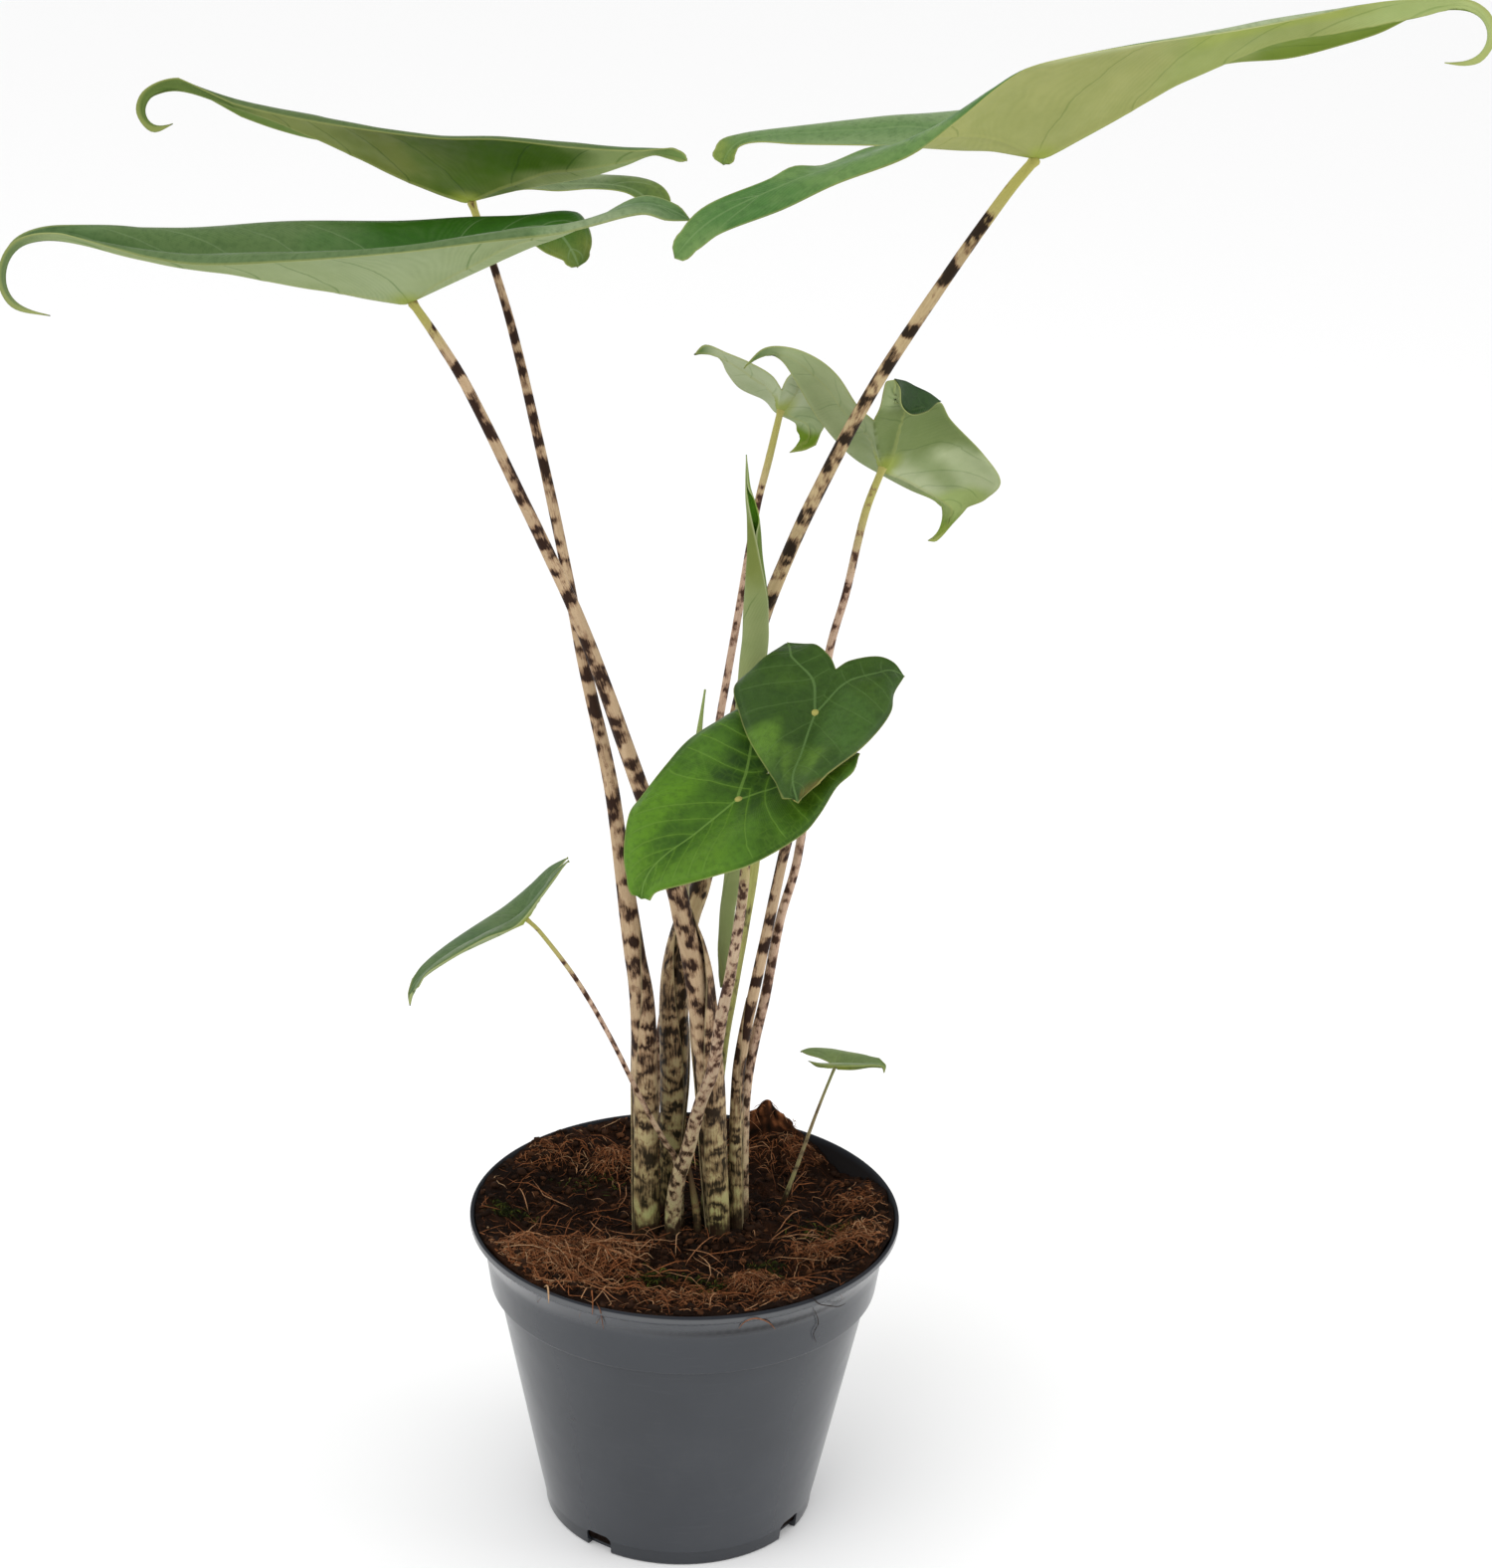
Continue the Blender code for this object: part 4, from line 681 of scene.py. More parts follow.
def top_material(name, look):
    mat, n, shader = new_material(name + "_top", roughness=0.45, specular=0.14)
    place = n.place()
    lines = n.group(group_named("leaf_lines", leaf_lines_group), lines=n.stored("leaf_lines"),
                    veins=n.stored("leaf_veins"), wobble=n.noise(place, 60.0, 2.0),
                    rib_width=0.8 if "rib" in look else 1.1, vein_width=0.42)
    # painted light and shade: soft patches of the top's colours in shade and in light
    clouds = n.smooth(n.noise(place, 30.0, 4.0, 0.6), 0.34, 0.68)
    colour = n.mix(clouds, look["top"], look["lit"])
    colour = patched(n, colour, place, look.get("top_patches", ()))
    colour = n.mix(n.math("MULTIPLY", lines["Near rib"], 0.5), colour, look["top"])
    colour = n.mix(n.math("MULTIPLY", lines["Halo"], look["glow"] * 0.55), colour, look["lit"])
    cells = n.cells(n.scaled(place, (1.0, 1.0, 1.0)), 300.0)
    net = n.math("MULTIPLY", n.smooth(cells, 0.0, 0.16, 1.0, 0.0), n.smooth(n.noise(place, 70.0), 0.35, 0.65))
    colour = n.mix(n.math("MULTIPLY", net, look["net"] * 0.30), colour, look["vein"])
    stripe = n.math("MULTIPLY", lines["Stripe"], n.smooth(n.noise(place, 45.0), 0.35, 0.7))
    colour = n.mix(n.math("MULTIPLY", stripe, 0.20), colour, look["lit"])
    darker = tuple(c * 0.55 for c in look["top"])
    fine = n.noise(place, 420.0, 4.0, 0.65)
    colour = n.mix(n.smooth(fine, 0.40, 0.72, 0.0, 0.35), colour, darker)
    colour = n.mix(n.math("MULTIPLY", lines["Vein"], look["show"]), colour, look["vein"])
    colour = n.mix(n.math("MULTIPLY", lines["Rim vein"], 0.3 * look["show"]), colour, look["vein"])
    strength = 0.75 if "rib" in look else min(1.0, look["show"] * 1.25)
    colour = n.mix(n.math("MULTIPLY", lines["Rib"], strength), colour, look.get("rib", look["vein"]))
    colour = n.mix(n.math("MULTIPLY", lines["Margin"], 0.4), colour, tuple(settings().leaf.margin))
    n.feed(shader["Base Color"], colour)
    n.feed(shader["Roughness"], n.smooth(n.noise(place, 160.0, 3.0), 0.3, 0.7, 0.38, 0.52))
    height = n.math("ADD", n.math("MULTIPLY", lines["Stripe"], 0.25), n.math("MULTIPLY", lines["Vein"], -0.6))
    height = n.math("ADD", height, n.math("MULTIPLY", net, -0.25))
    n.feed(shader["Normal"], n.bump(height, 0.00025, 0.7))
    return mat


def under_material(name, look):
    mat, n, shader = new_material(name + "_underside", roughness=0.58, specular=0.06)
    place = n.place()
    lines = n.group(group_named("leaf_lines", leaf_lines_group), lines=n.stored("leaf_lines"),
                    veins=n.stored("leaf_veins"), wobble=n.noise(place, 60.0, 2.0), rib_width=1.5,
                    vein_width=0.5)
    colour = n.mix(n.smooth(n.noise(place, 16.0, 2.0), 0.3, 0.7), look["under"], look["far"])
    colour = patched(n, colour, place, look.get("under_patches", ()))
    shade = n.add("Mix", data_type="RGBA", blend_type="MULTIPLY")
    n.feed(shade.inputs[0], n.smooth(n.noise(place, 42.0, 5.0, 0.62), 0.36, 0.70, 0.0, 0.42))
    n.feed(shade.inputs[6], colour)
    n.feed(shade.inputs[7], (0.66, 0.74, 0.60))
    colour = shade.outputs[2]
    stripe = n.math("MULTIPLY", lines["Stripe"], n.smooth(n.noise(place, 50.0), 0.35, 0.7))
    show = look.get("under_show", 0.6)
    marks = n.math("MAXIMUM", n.math("MULTIPLY", stripe, 0.3 * show), n.math("MULTIPLY", lines["Vein"], show))
    vein = n.add("Mix", data_type="RGBA", blend_type="MULTIPLY")
    n.feed(vein.inputs[0], marks)
    n.feed(vein.inputs[6], colour)
    n.feed(vein.inputs[7], (0.42, 0.56, 0.36))
    colour = vein.outputs[2]
    knob = n.smooth(n.split(n.stored("leaf_lines"))[2], 2.0, 11.0, 0.8, 0.0)
    colour = n.mix(n.math("MULTIPLY", lines["Rib"], 0.28), colour, tuple(settings().leaf.margin))
    colour = n.mix(knob, colour, (0.250, 0.300, 0.045))
    colour = n.mix(n.math("MULTIPLY", lines["Margin"], 0.5), colour, look.get("edge", tuple(settings().leaf.margin)))
    n.feed(shader["Base Color"], colour)
    n.feed(shader["Roughness"], n.smooth(n.noise(place, 180.0, 3.0), 0.3, 0.7, 0.5, 0.66))
    height = n.math("ADD", n.math("MULTIPLY", lines["Stripe"], 0.2), n.math("MULTIPLY", lines["Vein"], 0.7))
    n.feed(shader["Normal"], n.bump(height, 0.0002, 0.5))
    return mat


def stalk_material(name, look, sheath=False):
    mat, n, shader = new_material(name, roughness=0.5, specular=0.09)
    across = n.stored("stalk_across")
    share, from_top, from_soil = n.split(n.stored("stalk_run"))[:3]
    low = n.smooth(from_soil, 15.0, 95.0, 1.0, 0.0)
    neck_from, neck_to = look.get("neck_reach", (3.0, 24.0))
    cover = n.math("MULTIPLY_ADD", n.smooth(from_top, 2.0, 0.7 * neck_to + 6.0), look["cover"] + 0.25, -0.25)
    grain = look.get("grain", 0.8 if sheath else 1.0)
    marks = n.group(group_named("stalk_mottling", mottling_group), cover=cover,
                    across=n.scaled(across, (grain,) * 3), maze=0.75 if sheath else n.math("MULTIPLY", low, look.get("maze", 0.7)))
    tone = n.smooth(n.noise(n.scaled(across, (0.12, 0.12, 0.03)), 1.0, 2.0), 0.3, 0.7)
    pale = tuple(min(1.0, c * 1.25) for c in look["ground"])
    colour = n.mix(tone, look["ground"], pale)
    colour = n.mix(n.smooth(marks["Streaks"], 0.40, 0.62, 0.0, 0.30), colour,
                   tuple(c * k for c, k in zip(look["ground"], (0.74, 0.62, 0.50))))
    colour = n.mix(n.math("MULTIPLY", low, 0.6 if sheath else 0.35), colour, tuple(settings().stalk.foot))
    lime = n.math("MULTIPLY", n.smooth(from_soil, 4.0, 26.0, 1.0, 0.0), tone)
    colour = n.mix(n.math("MULTIPLY", lime, 0.5), colour, (0.300, 0.400, 0.110))
    neck = look.get("neck", tuple(settings().stalk.neck))
    colour = n.mix(n.smooth(from_top, neck_from, neck_to, 0.85, 0.0), colour, neck)
    colour = n.mix(n.math("MULTIPLY", marks["Fringe"], 0.65), colour, look.get("fringe", (0.150, 0.070, 0.036)))
    colour = n.mix(n.math("MULTIPLY", marks["Specks"], look["specks"]), colour,
                   tuple(c * 1.8 for c in look["blotch"]))
    blotch = n.mix(n.math("MULTIPLY", low, 0.6), look["blotch"], (0.020, 0.021, 0.009))
    colour = n.mix(marks["Blotch"], colour, blotch)
    # darker towards the soil, up to a ragged 9 to 14 mm above it
    darker_low = n.math("MULTIPLY_ADD", n.noise(n.place(), 420.0, 3.0, 0.6), 9.0, from_soil)
    colour = n.mix(n.smooth(darker_low, 9.0, 14.0, 0.94, 0.0), colour, (0.022, 0.011, 0.006))
    if sheath:
        rim = n.smooth(n.stored("sheath_edge", "Fac"), 0.2, 0.6, 1.0, 0.0)
        colour = n.mix(n.math("MULTIPLY", rim, 0.45), colour, (0.360, 0.290, 0.160))
    n.feed(shader["Base Color"], colour)
    n.feed(shader["Roughness"], n.smooth(marks["Streaks"], 0.3, 0.7, 0.42, 0.56))
    n.feed(shader["Normal"], n.bump(marks["Streaks"], 0.0003, 0.6))
    return mat


def pot_material():
    chosen = settings().pot
    mat, n, shader = new_material("pot_plastic", roughness=0.34, specular=0.5)
    place = n.place()
    marks = n.group(group_named("dust_and_specks", dust_group), place=place, amount=chosen.dust)
    base = tuple(chosen.colour)
    cloud = n.smooth(n.noise(place, 14.0, 3.0), 0.3, 0.7)
    colour = n.mix(cloud, base, tuple(c * 1.22 for c in base))
    x, y, height = n.split(place)[:3]
    band = n.smooth(height, (BAND_H - 0.8) * MM, (BAND_H + 0.4) * MM, 0.45, 0.0)
    colour = n.mix(band, colour, tuple(c * 0.6 for c in base))
    colour = n.mix(n.math("MULTIPLY", marks["Dust"], 0.16), colour, (0.090, 0.090, 0.090))
    colour = n.mix(n.math("MULTIPLY", marks["Scratches"], 0.02), colour, (0.130, 0.140, 0.155))
    colour = n.mix(n.math("MULTIPLY", marks["Specks"], 0.85), colour, (0.012, 0.008, 0.006))
    radius = n.math("SQRT", n.math("ADD", n.math("MULTIPLY", x, x), n.math("MULTIPLY", y, y)))
    wall = n.math("MULTIPLY_ADD", height, 0.5, (inner_wall()[4][0] - 0.5 * FLARE_Z) * MM)
    inside = n.smooth(n.math("SUBTRACT", radius, wall), 0.5 * MM, 0.9 * MM, 1.0, 0.0)
    inside = n.math("MULTIPLY", inside, n.smooth(height, (FLARE_Z - 4) * MM, (FLARE_Z - 1) * MM))
    # painted highlight: the lip's outside, from 126.6 mm up, lightened to a pale grey
    lip = n.math("MULTIPLY", n.smooth(height, 0.1266, 0.1278), n.math("SUBTRACT", 1.0, inside))
    colour = n.mix(n.math("MULTIPLY", lip, 0.6), colour, (0.105, 0.108, 0.112))
    # painted shade: the inside of the wall above the soil darkened, less towards the top of the rim
    inner_shade = n.math("MULTIPLY", inside, n.smooth(height, 0.127, 0.1297, 0.95, 0.35))
    colour = n.mix(inner_shade, colour, (0.012, 0.010, 0.010))
    n.feed(shader["Base Color"], colour)
    n.feed(shader["Specular IOR Level"], n.math("MULTIPLY_ADD", inside, -0.42, 0.5))
    rough = n.math("MULTIPLY_ADD", marks["Dust"], 0.15, 0.21)
    n.feed(shader["Roughness"], n.math("MAXIMUM", rough, n.math("MULTIPLY", inside, 0.85)))
    ripple = n.math("ADD", n.noise(place, 55.0, 2.0), n.math("MULTIPLY", n.noise(place, 1500.0), 0.05))
    n.feed(shader["Normal"], n.bump(ripple, 0.0006, 0.35))
    return mat


def soil_material():
    chosen = settings().soil
    mat, n, shader = new_material("soil_peat", roughness=0.95, specular=0.05)
    place = n.place()
    peat, coir = tuple(chosen.peat), tuple(chosen.coir)
    patches = n.smooth(n.noise(place, 48.0, 4.0, 0.65), 0.48, 0.66)
    strands = n.smooth(n.noise(n.scaled(place, (1.0, 2.2, 1.4)), 420.0, 4.0, 0.7), 0.53, 0.66)
    colour = n.mix(n.math("MULTIPLY", patches, 0.08), peat, coir)
    colour = n.mix(n.math("MULTIPLY", strands, 0.07), colour, tuple(c * 1.5 for c in coir))
    colour = n.mix(n.smooth(n.noise(place, 300.0, 3.0, 0.6), 0.5, 0.72, 0.0, 0.8), colour,
                   tuple(c * 0.45 for c in peat))
    raised = n.math("MULTIPLY", n.stored("coir_share", "Fac"), n.smooth(strands, 0.0, 0.6, 0.15, 0.75))
    colour = n.mix(raised, colour, tuple(c * 1.7 for c in coir))
    n.feed(shader["Base Color"], colour)
    n.feed(shader["Roughness"], n.smooth(strands, 0.0, 1.0, 0.88, 1.0))
    bumps = n.math("ADD", n.noise(place, 260.0, 4.0, 0.7), n.math("MULTIPLY", strands, 0.35))
    n.feed(shader["Normal"], n.bump(bumps, 0.0022, 0.9))
    return mat


def tone_material(name, stops, roughness=0.85):
    """A matt material whose colour runs over the stops by each strand's or crumb's own tone."""
    mat, n, shader = new_material(name, roughness=roughness, specular=0.08)
    tone = n.stored("tone", "Fac")
    ramp = n.add("ValToRGB")
    ramp.color_ramp.elements[0].position, ramp.color_ramp.elements[0].color = stops[0][0], (*stops[0][1], 1)
    ramp.color_ramp.elements[1].position, ramp.color_ramp.elements[1].color = stops[-1][0], (*stops[-1][1], 1)
    for at, colour in stops[1:-1]:
        ramp.color_ramp.elements.new(at).color = (*colour, 1)
    n.feed(ramp.inputs[0], tone)
    grain = n.smooth(n.noise(n.place(), 900.0, 3.0, 0.6), 0.35, 0.7, 0.0, 0.4)
    colour = n.mix(grain, ramp.outputs["Color"], (0.010, 0.006, 0.004))
    n.feed(shader["Base Color"], colour)
    return mat


# ---- mesh helpers

def new_piece(name, bm, materials, slot, *nodes):
    """A finished piece from a bmesh: it rides on the root and stands for the named CAD nodes."""
    mesh = bpy.data.meshes.new(name)
    bm.to_mesh(mesh)
    bm.free()
    for mat in materials:
        mesh.materials.append(mat)
    mesh.shade_smooth()
    piece = bpy.data.objects.new(name, mesh)
    bpy.context.scene.collection.objects.link(piece)
    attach(piece, "root")
    if nodes:
        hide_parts(*nodes)
    return piece


def solidify(piece, thickness, group=None):
    """Give a sheet its thickness, away from the side that its faces show; the other side takes the
    next material."""
    mod = piece.modifiers.new("thickness", "SOLIDIFY")
    mod.thickness = thickness
    mod.offset = -1.0
    mod.material_offset = mod.material_offset_rim = 1 if len(piece.data.materials) > 1 else 0
    if group:
        mod.vertex_group = group
    return mod


def lay_grid(bm, points, stored=None, flip=False):
    """A grid laid over points, given as metres, with named vectors or numbers stored on its vertices."""
    rows, cols = points.shape[0] - 1, points.shape[1] - 1
    layers = {}
    for name, values in (stored or {}).items():
        kind = bm.verts.layers.float if values.ndim == 2 else bm.verts.layers.float_vector
        layers[name] = kind.get(name) or kind.new(name)
    verts = bmesh.ops.create_grid(bm, x_segments=rows, y_segments=cols, size=0.5)["verts"]
    for v in verts:
        at = round((v.co.x + 0.5) * rows), round((v.co.y + 0.5) * cols)
        v.co = points[at]
        for name, layer in layers.items():
            v[layer] = stored[name][at]
    if flip:
        faces = {face for v in verts for face in v.link_faces}
        bmesh.ops.reverse_faces(bm, faces=list(faces))
    return verts


def in_batches(count, size, make):
    """A bmesh made a few items at a time, because an operator slows down as its bmesh grows."""
    whole = bmesh.new()
    for start in range(0, count, size):
        part = bmesh.new()
        for _ in range(start, min(count, start + size)):
            make(part)
        bmesh.ops.remove_doubles(part, verts=part.verts, dist=1e-6)
        bmesh.ops.recalc_face_normals(part, faces=part.faces)
        mesh = bpy.data.meshes.new("batch")
        part.to_mesh(mesh)
        part.free()
        whole.from_mesh(mesh)
        bpy.data.meshes.remove(mesh)
    return whole


def merge_close(bm, distance=2e-5):
    bmesh.ops.remove_doubles(bm, verts=bm.verts, dist=distance)
    bmesh.ops.dissolve_degenerate(bm, edges=bm.edges, dist=1e-6)


def spin_profile(profile, sides):
    """A closed solid of revolution round Z from (radius, height) points in mm, from axis to axis."""
    bm = bmesh.new()
    verts = [bm.verts.new((r * MM, 0.0, z * MM)) for r, z in profile]
    edges = [bm.edges.new(pair) for pair in zip(verts, verts[1:])]
    bmesh.ops.spin(bm, geom=verts + edges, cent=(0, 0, 0), axis=(0, 0, 1), angle=math.tau, steps=sides,
                   use_merge=True)
    bmesh.ops.remove_doubles(bm, verts=bm.verts, dist=1e-6)
    bmesh.ops.recalc_face_normals(bm, faces=bm.faces)
    return bm


def arc(centre, radius, start, end, steps=4):
    """Points of a rounded corner as (radius, height)."""
    return [(centre[0] + radius * math.cos(math.radians(start + (end - start) * k / steps)),
             centre[1] + radius * math.sin(math.radians(start + (end - start) * k / steps)))
            for k in range(steps + 1)]


def spline(points, knots, at):
    """A smooth run through the points, read at the given places between the knots."""
    slope = np.zeros_like(points)
    slope[1:-1] = (points[2:] - points[:-2]) / (knots[2:] - knots[:-2])[:, None]
    slope[0] = (points[1] - points[0]) / (knots[1] - knots[0])
    slope[-1] = (points[-1] - points[-2]) / (knots[-1] - knots[-2])
    i = np.clip(np.searchsorted(knots, at, side="right") - 1, 0, len(knots) - 2)
    h = (knots[i + 1] - knots[i])[:, None]
    t = (at - knots[i])[:, None] / h
    return ((2 * t**3 - 3 * t**2 + 1) * points[i] + (t**3 - 2 * t**2 + t) * h * slope[i]
            + (-2 * t**3 + 3 * t**2) * points[i + 1] + (t**3 - t**2) * h * slope[i + 1])


def knots_of(points, start, end):
    steps = np.linalg.norm(np.diff(points, axis=0), axis=1) ** 0.75
    run = np.concatenate([[0.0], np.cumsum(steps)])
    return start + (end - start) * run / run[-1]


def unit(v):
    return v / max(np.linalg.norm(v), 1e-9)


def units(rows):
    return rows / np.maximum(np.linalg.norm(rows, axis=-1, keepdims=True), 1e-9)


def step(x, low, high):
    t = np.clip((x - low) / (high - low), 0, 1)
    return t * t * (3 - 2 * t)


def spread(rows, times):
    """Rows averaged with their neighbours, the ends kept."""
    rows = rows.copy()
    for _ in range(times):
        rows[1:-1] = 0.25 * rows[:-2] + 0.5 * rows[1:-1] + 0.25 * rows[2:]
    return rows


# ---- pot

def collar_bottom():
    return RIM_R - LIP_OUT - COLLAR_TAPER, POT_H - COLLAR_H


def flare_radius():
    """The collar's radius where it starts to flare."""
    low_r, low_z = collar_bottom()
    return low_r + COLLAR_TAPER * (FLARE_Z - low_z) / (COLLAR_H - LIP_H)


def inner_wall():
    """The pot's inside from floor to rim as (radius, height)."""
    low_r, low_z = collar_bottom()
    return [(BASE_R - WALL - 0.8, FLOOR_T), (BASE_R - WALL + 0.4, FLOOR_T + 1.4),
            (low_r - COLLAR_STEP - WALL, low_z), (low_r - WALL, low_z + 1.6),
            (flare_radius() - WALL, FLARE_Z), (RIM_R - RIM_T - 0.6, POT_H - LIP_H - 0.4),
            (RIM_R - RIM_T, POT_H - 0.8)]


def wall_radius(height):
    """The inside radius of the pot at a height above the collar's foot, in mm."""
    radii, heights = zip(*inner_wall()[2:])
    return float(np.interp(height, heights, radii))


def pot_profile():
    low_r, low_z = collar_bottom()
    body_r, lip_z = low_r - COLLAR_STEP, POT_H - LIP_H
    profile = [(0, 0.8), (BASE_R - 12.0, 0.8), (BASE_R - 9.0, 0.0)]
    profile += arc((BASE_R - 1.1, 1.1), 1.1, -90, 0)
    profile += [(BASE_R + 0.5, BAND_H - 0.5), (BASE_R + 0.55, BAND_H - 0.15), (BASE_R + 0.85, BAND_H + 0.1),
                (BASE_R + 0.9 + BAND_STEP * 0.1, BAND_H + 0.6)]
    start = BASE_R + 0.5 + BAND_STEP
    for k in range(1, 12):                    # the body's straight side
        profile.append((start + (body_r - start) * k / 12, BAND_H + (low_z - 1.4 - BAND_H) * k / 12))
    profile += [(body_r - 0.05, low_z - 1.4), (body_r + 0.1, low_z - 0.5), (body_r + 0.6, low_z - 0.15)]
    profile += [(low_r - 0.7, low_z)] + arc((low_r - 0.6, low_z + 0.6), 0.6, -70, 0, 3)
    flare_r = flare_radius()
    profile += [(low_r + (flare_r - low_r) * k / 4, low_z + 0.8 + (FLARE_Z - low_z - 0.8) * k / 4)
                for k in range(1, 5)]
    profile += [(flare_r + (RIM_R - 0.8 - flare_r) * (k / 6) ** 1.3, FLARE_Z + (lip_z - 0.6 - FLARE_Z) * k / 6)
                for k in range(1, 7)]
    profile += arc((RIM_R - 0.5, lip_z + 0.4), 0.5, -50, 0, 3)
    profile += arc((RIM_R - RIM_T / 2, POT_H - RIM_T / 2), RIM_T / 2, 0, 150, 6)
    inner = inner_wall()
    rise = [(inner[2][0] + (inner[1][0] - inner[2][0]) * k / 8, inner[2][1] + (inner[1][1] - inner[2][1]) * k / 8)
            for k in range(1, 8)]
    return profile + inner[:1:-1] + rise + inner[1::-1] + [(0, FLOOR_T)]


def cut_notches(piece):
    """Cut the drain notches through the foot."""
    bm = bmesh.new()
    for k in range(NOTCHES):
        turn = math.radians(NOTCH_AT + k * 360.0 / NOTCHES)
        made = bmesh.ops.create_cube(bm, size=1.0)["verts"]
        bmesh.ops.scale(bm, verts=made, vec=(14 * MM, NOTCH_W * MM, 2 * NOTCH_H * MM))
        bmesh.ops.translate(bm, verts=made, vec=((BASE_R + 3.5) * MM, 0, 0))
        bmesh.ops.rotate(bm, verts=made, cent=(0, 0, 0), matrix=Matrix.Rotation(turn, 3, "Z"))
    upper = [e for e in bm.edges if all(v.co.z > 0 for v in e.verts)
             and abs(math.hypot(*e.verts[0].co.xy) - math.hypot(*e.verts[1].co.xy)) > 5 * MM]
    bmesh.ops.bevel(bm, geom=upper, offset=2.2 * MM, offset_type="OFFSET", segments=4, profile=0.5,
                    affect="EDGES", material=-1)
    mesh = bpy.data.meshes.new("notches")
    bm.to_mesh(mesh)
    bm.free()
    cutter = bpy.data.objects.new("notches", mesh)
    bpy.context.scene.collection.objects.link(cutter)
    mod = piece.modifiers.new("notches", "BOOLEAN")
    mod.operation, mod.solver, mod.object = "DIFFERENCE", "EXACT", cutter
    bpy.context.view_layer.update()
    evaluated = piece.evaluated_get(bpy.context.evaluated_depsgraph_get())
    shaped = bpy.data.meshes.new_from_object(evaluated)
    piece.modifiers.clear()
    old = piece.data
    piece.data = shaped
    shaped.name = piece.name
    bpy.data.meshes.remove(old)
    bpy.data.objects.remove(cutter, do_unlink=True)
    bpy.data.meshes.remove(mesh)
    if len(shaped.polygons) < 1000:
        raise RuntimeError("the notches could not be cut")


class BuildPot(bpy.types.Operator):
    """Build the nursery pot with its collar, rolled lip and drain notches"""
    bl_idname = "alocasia.pot"
    bl_label = "Pot"

    def execute(self, context):
        bm = spin_profile(pot_profile(), settings().pot.sides)
        for v in bm.verts:                    # a thin moulded wall is never quite round
            turn = math.atan2(v.co.y, v.co.x)
            v.co.xy *= 1 + 0.0022 * (v.co.z / POT_H / MM) * math.sin(2 * turn + 0.7)
        piece = new_piece("pot_shell", bm, [pot_material()], "pot_plastic", "pot")
        cut_notches(piece)
        piece.data.set_sharp_from_angle(angle=math.radians(38))
        return {"FINISHED"}


# ---- soil

def smooth_step(x, low, high):
    t = max(0.0, min(1.0, (x - low) / (high - low)))
    return t * t * (3 - 2 * t)


def soil_height(x, y):
    """Height of the soil in mm: lumps, raised tufts of fibre and clods, a bank along the wall except at the back
    right, and fine roughness."""
    lump = noise.noise(Vector((x / 17.0, y / 17.0, SOIL_SEED))) + 0.5 * noise.noise(
        Vector((x / 7.0, y / 7.0, SOIL_SEED + 5)))
    height = SOIL_TOP + SOIL_LUMP * lump
    for at_x, at_y, reach_x, reach_y, rise in SOIL_FORMS:
        height += rise * math.exp(-((x - at_x) / reach_x) ** 2 - ((y - at_y) / reach_y) ** 2)
    turn = math.degrees(math.atan2(y, x))
    bank = 7.4 * smooth_step(math.hypot(x, y), 58, 82) * (1 - 0.85 * math.exp(-((turn - 38) / 13) ** 2))
    fine = noise.fractal(Vector((x / 4.2, y / 4.2, 3.0)), 1.0, 2.1, 4)
    return height + bank + 1.3 * fine


def coir_share(x, y):
    """How much of the soil at a place is reddish fibre, from 0 to 1."""
    share = 0.7 * max(0.0, noise.noise(Vector((x / 13.0, y / 13.0, 7.0))) - 0.08)
    for at_x, at_y, reach, much in COIR_AT:
        share += much * math.exp(-((x - at_x) ** 2 + (y - at_y) ** 2) / reach**2)
    return max(0.0, min(1.0, share))


class BuildSoil(bpy.types.Operator):
    """Build the body of peat that fills the pot"""
    bl_idname = "alocasia.soil"
    bl_label = "Soil"

    def execute(self, context):
        wall = [(r - 0.45, z + 0.3) for r, z in inner_wall()[:4]]
        foot = SOIL_TOP - 6.5
        wall.append((wall_radius(foot) - 0.4, foot))
        edge = wall_radius(SOIL_TOP)
        rings = [(edge * (1 - (k / 96) ** 1.15), SOIL_TOP) for k in range(96)] + [(0, SOIL_TOP)]
        bm = spin_profile([(0, FLOOR_T + 0.3)] + wall + rings, 224)
        layer = bm.verts.layers.float.new("coir_share")
        reach = {}
        for v in bm.verts:
            if v.co.z > (SOIL_TOP - 0.1) * MM:
                turn = math.atan2(v.co.y, v.co.x)
                radius = math.hypot(v.co.x, v.co.y) / MM / edge
                key = round(turn, 3)
                if radius > 0.01 and key not in reach:      # the surface reaches the wall at its own height
                    limit = edge
                    for _ in range(4):
                        limit = wall_radius(soil_height(limit * math.cos(turn), limit * math.sin(turn))) - 0.35
                    reach[key] = limit
                radius *= reach.get(key, edge)
                x, y = radius * math.cos(turn), radius * math.sin(turn)
                v.co = Vector((x, y, soil_height(x, y))) * MM
                v[layer] = coir_share(x, y)
        new_piece("soil_body", bm, [soil_material()], "soil_peat", "soil")
        return {"FINISHED"}


def inside_pot(x, y, clear=1.5):
    return math.hypot(x, y) < wall_radius(soil_height(x, y)) - clear


def on_soil(rng, clumps):
    """A place on the soil, more often in one of the clumps (x, y, reach, share)."""
    pick = rng.random()
    radius, turn = RIM_R * math.sqrt(rng.random()), rng.random() * math.tau
    at = radius * math.cos(turn), radius * math.sin(turn)
    for x, y, reach, share in clumps:
        pick -= share
        if pick < 0:
            at = rng.gauss(x, reach), rng.gauss(y, reach * 0.7)
            break
    return at if inside_pot(*at) else on_soil(rng, clumps)


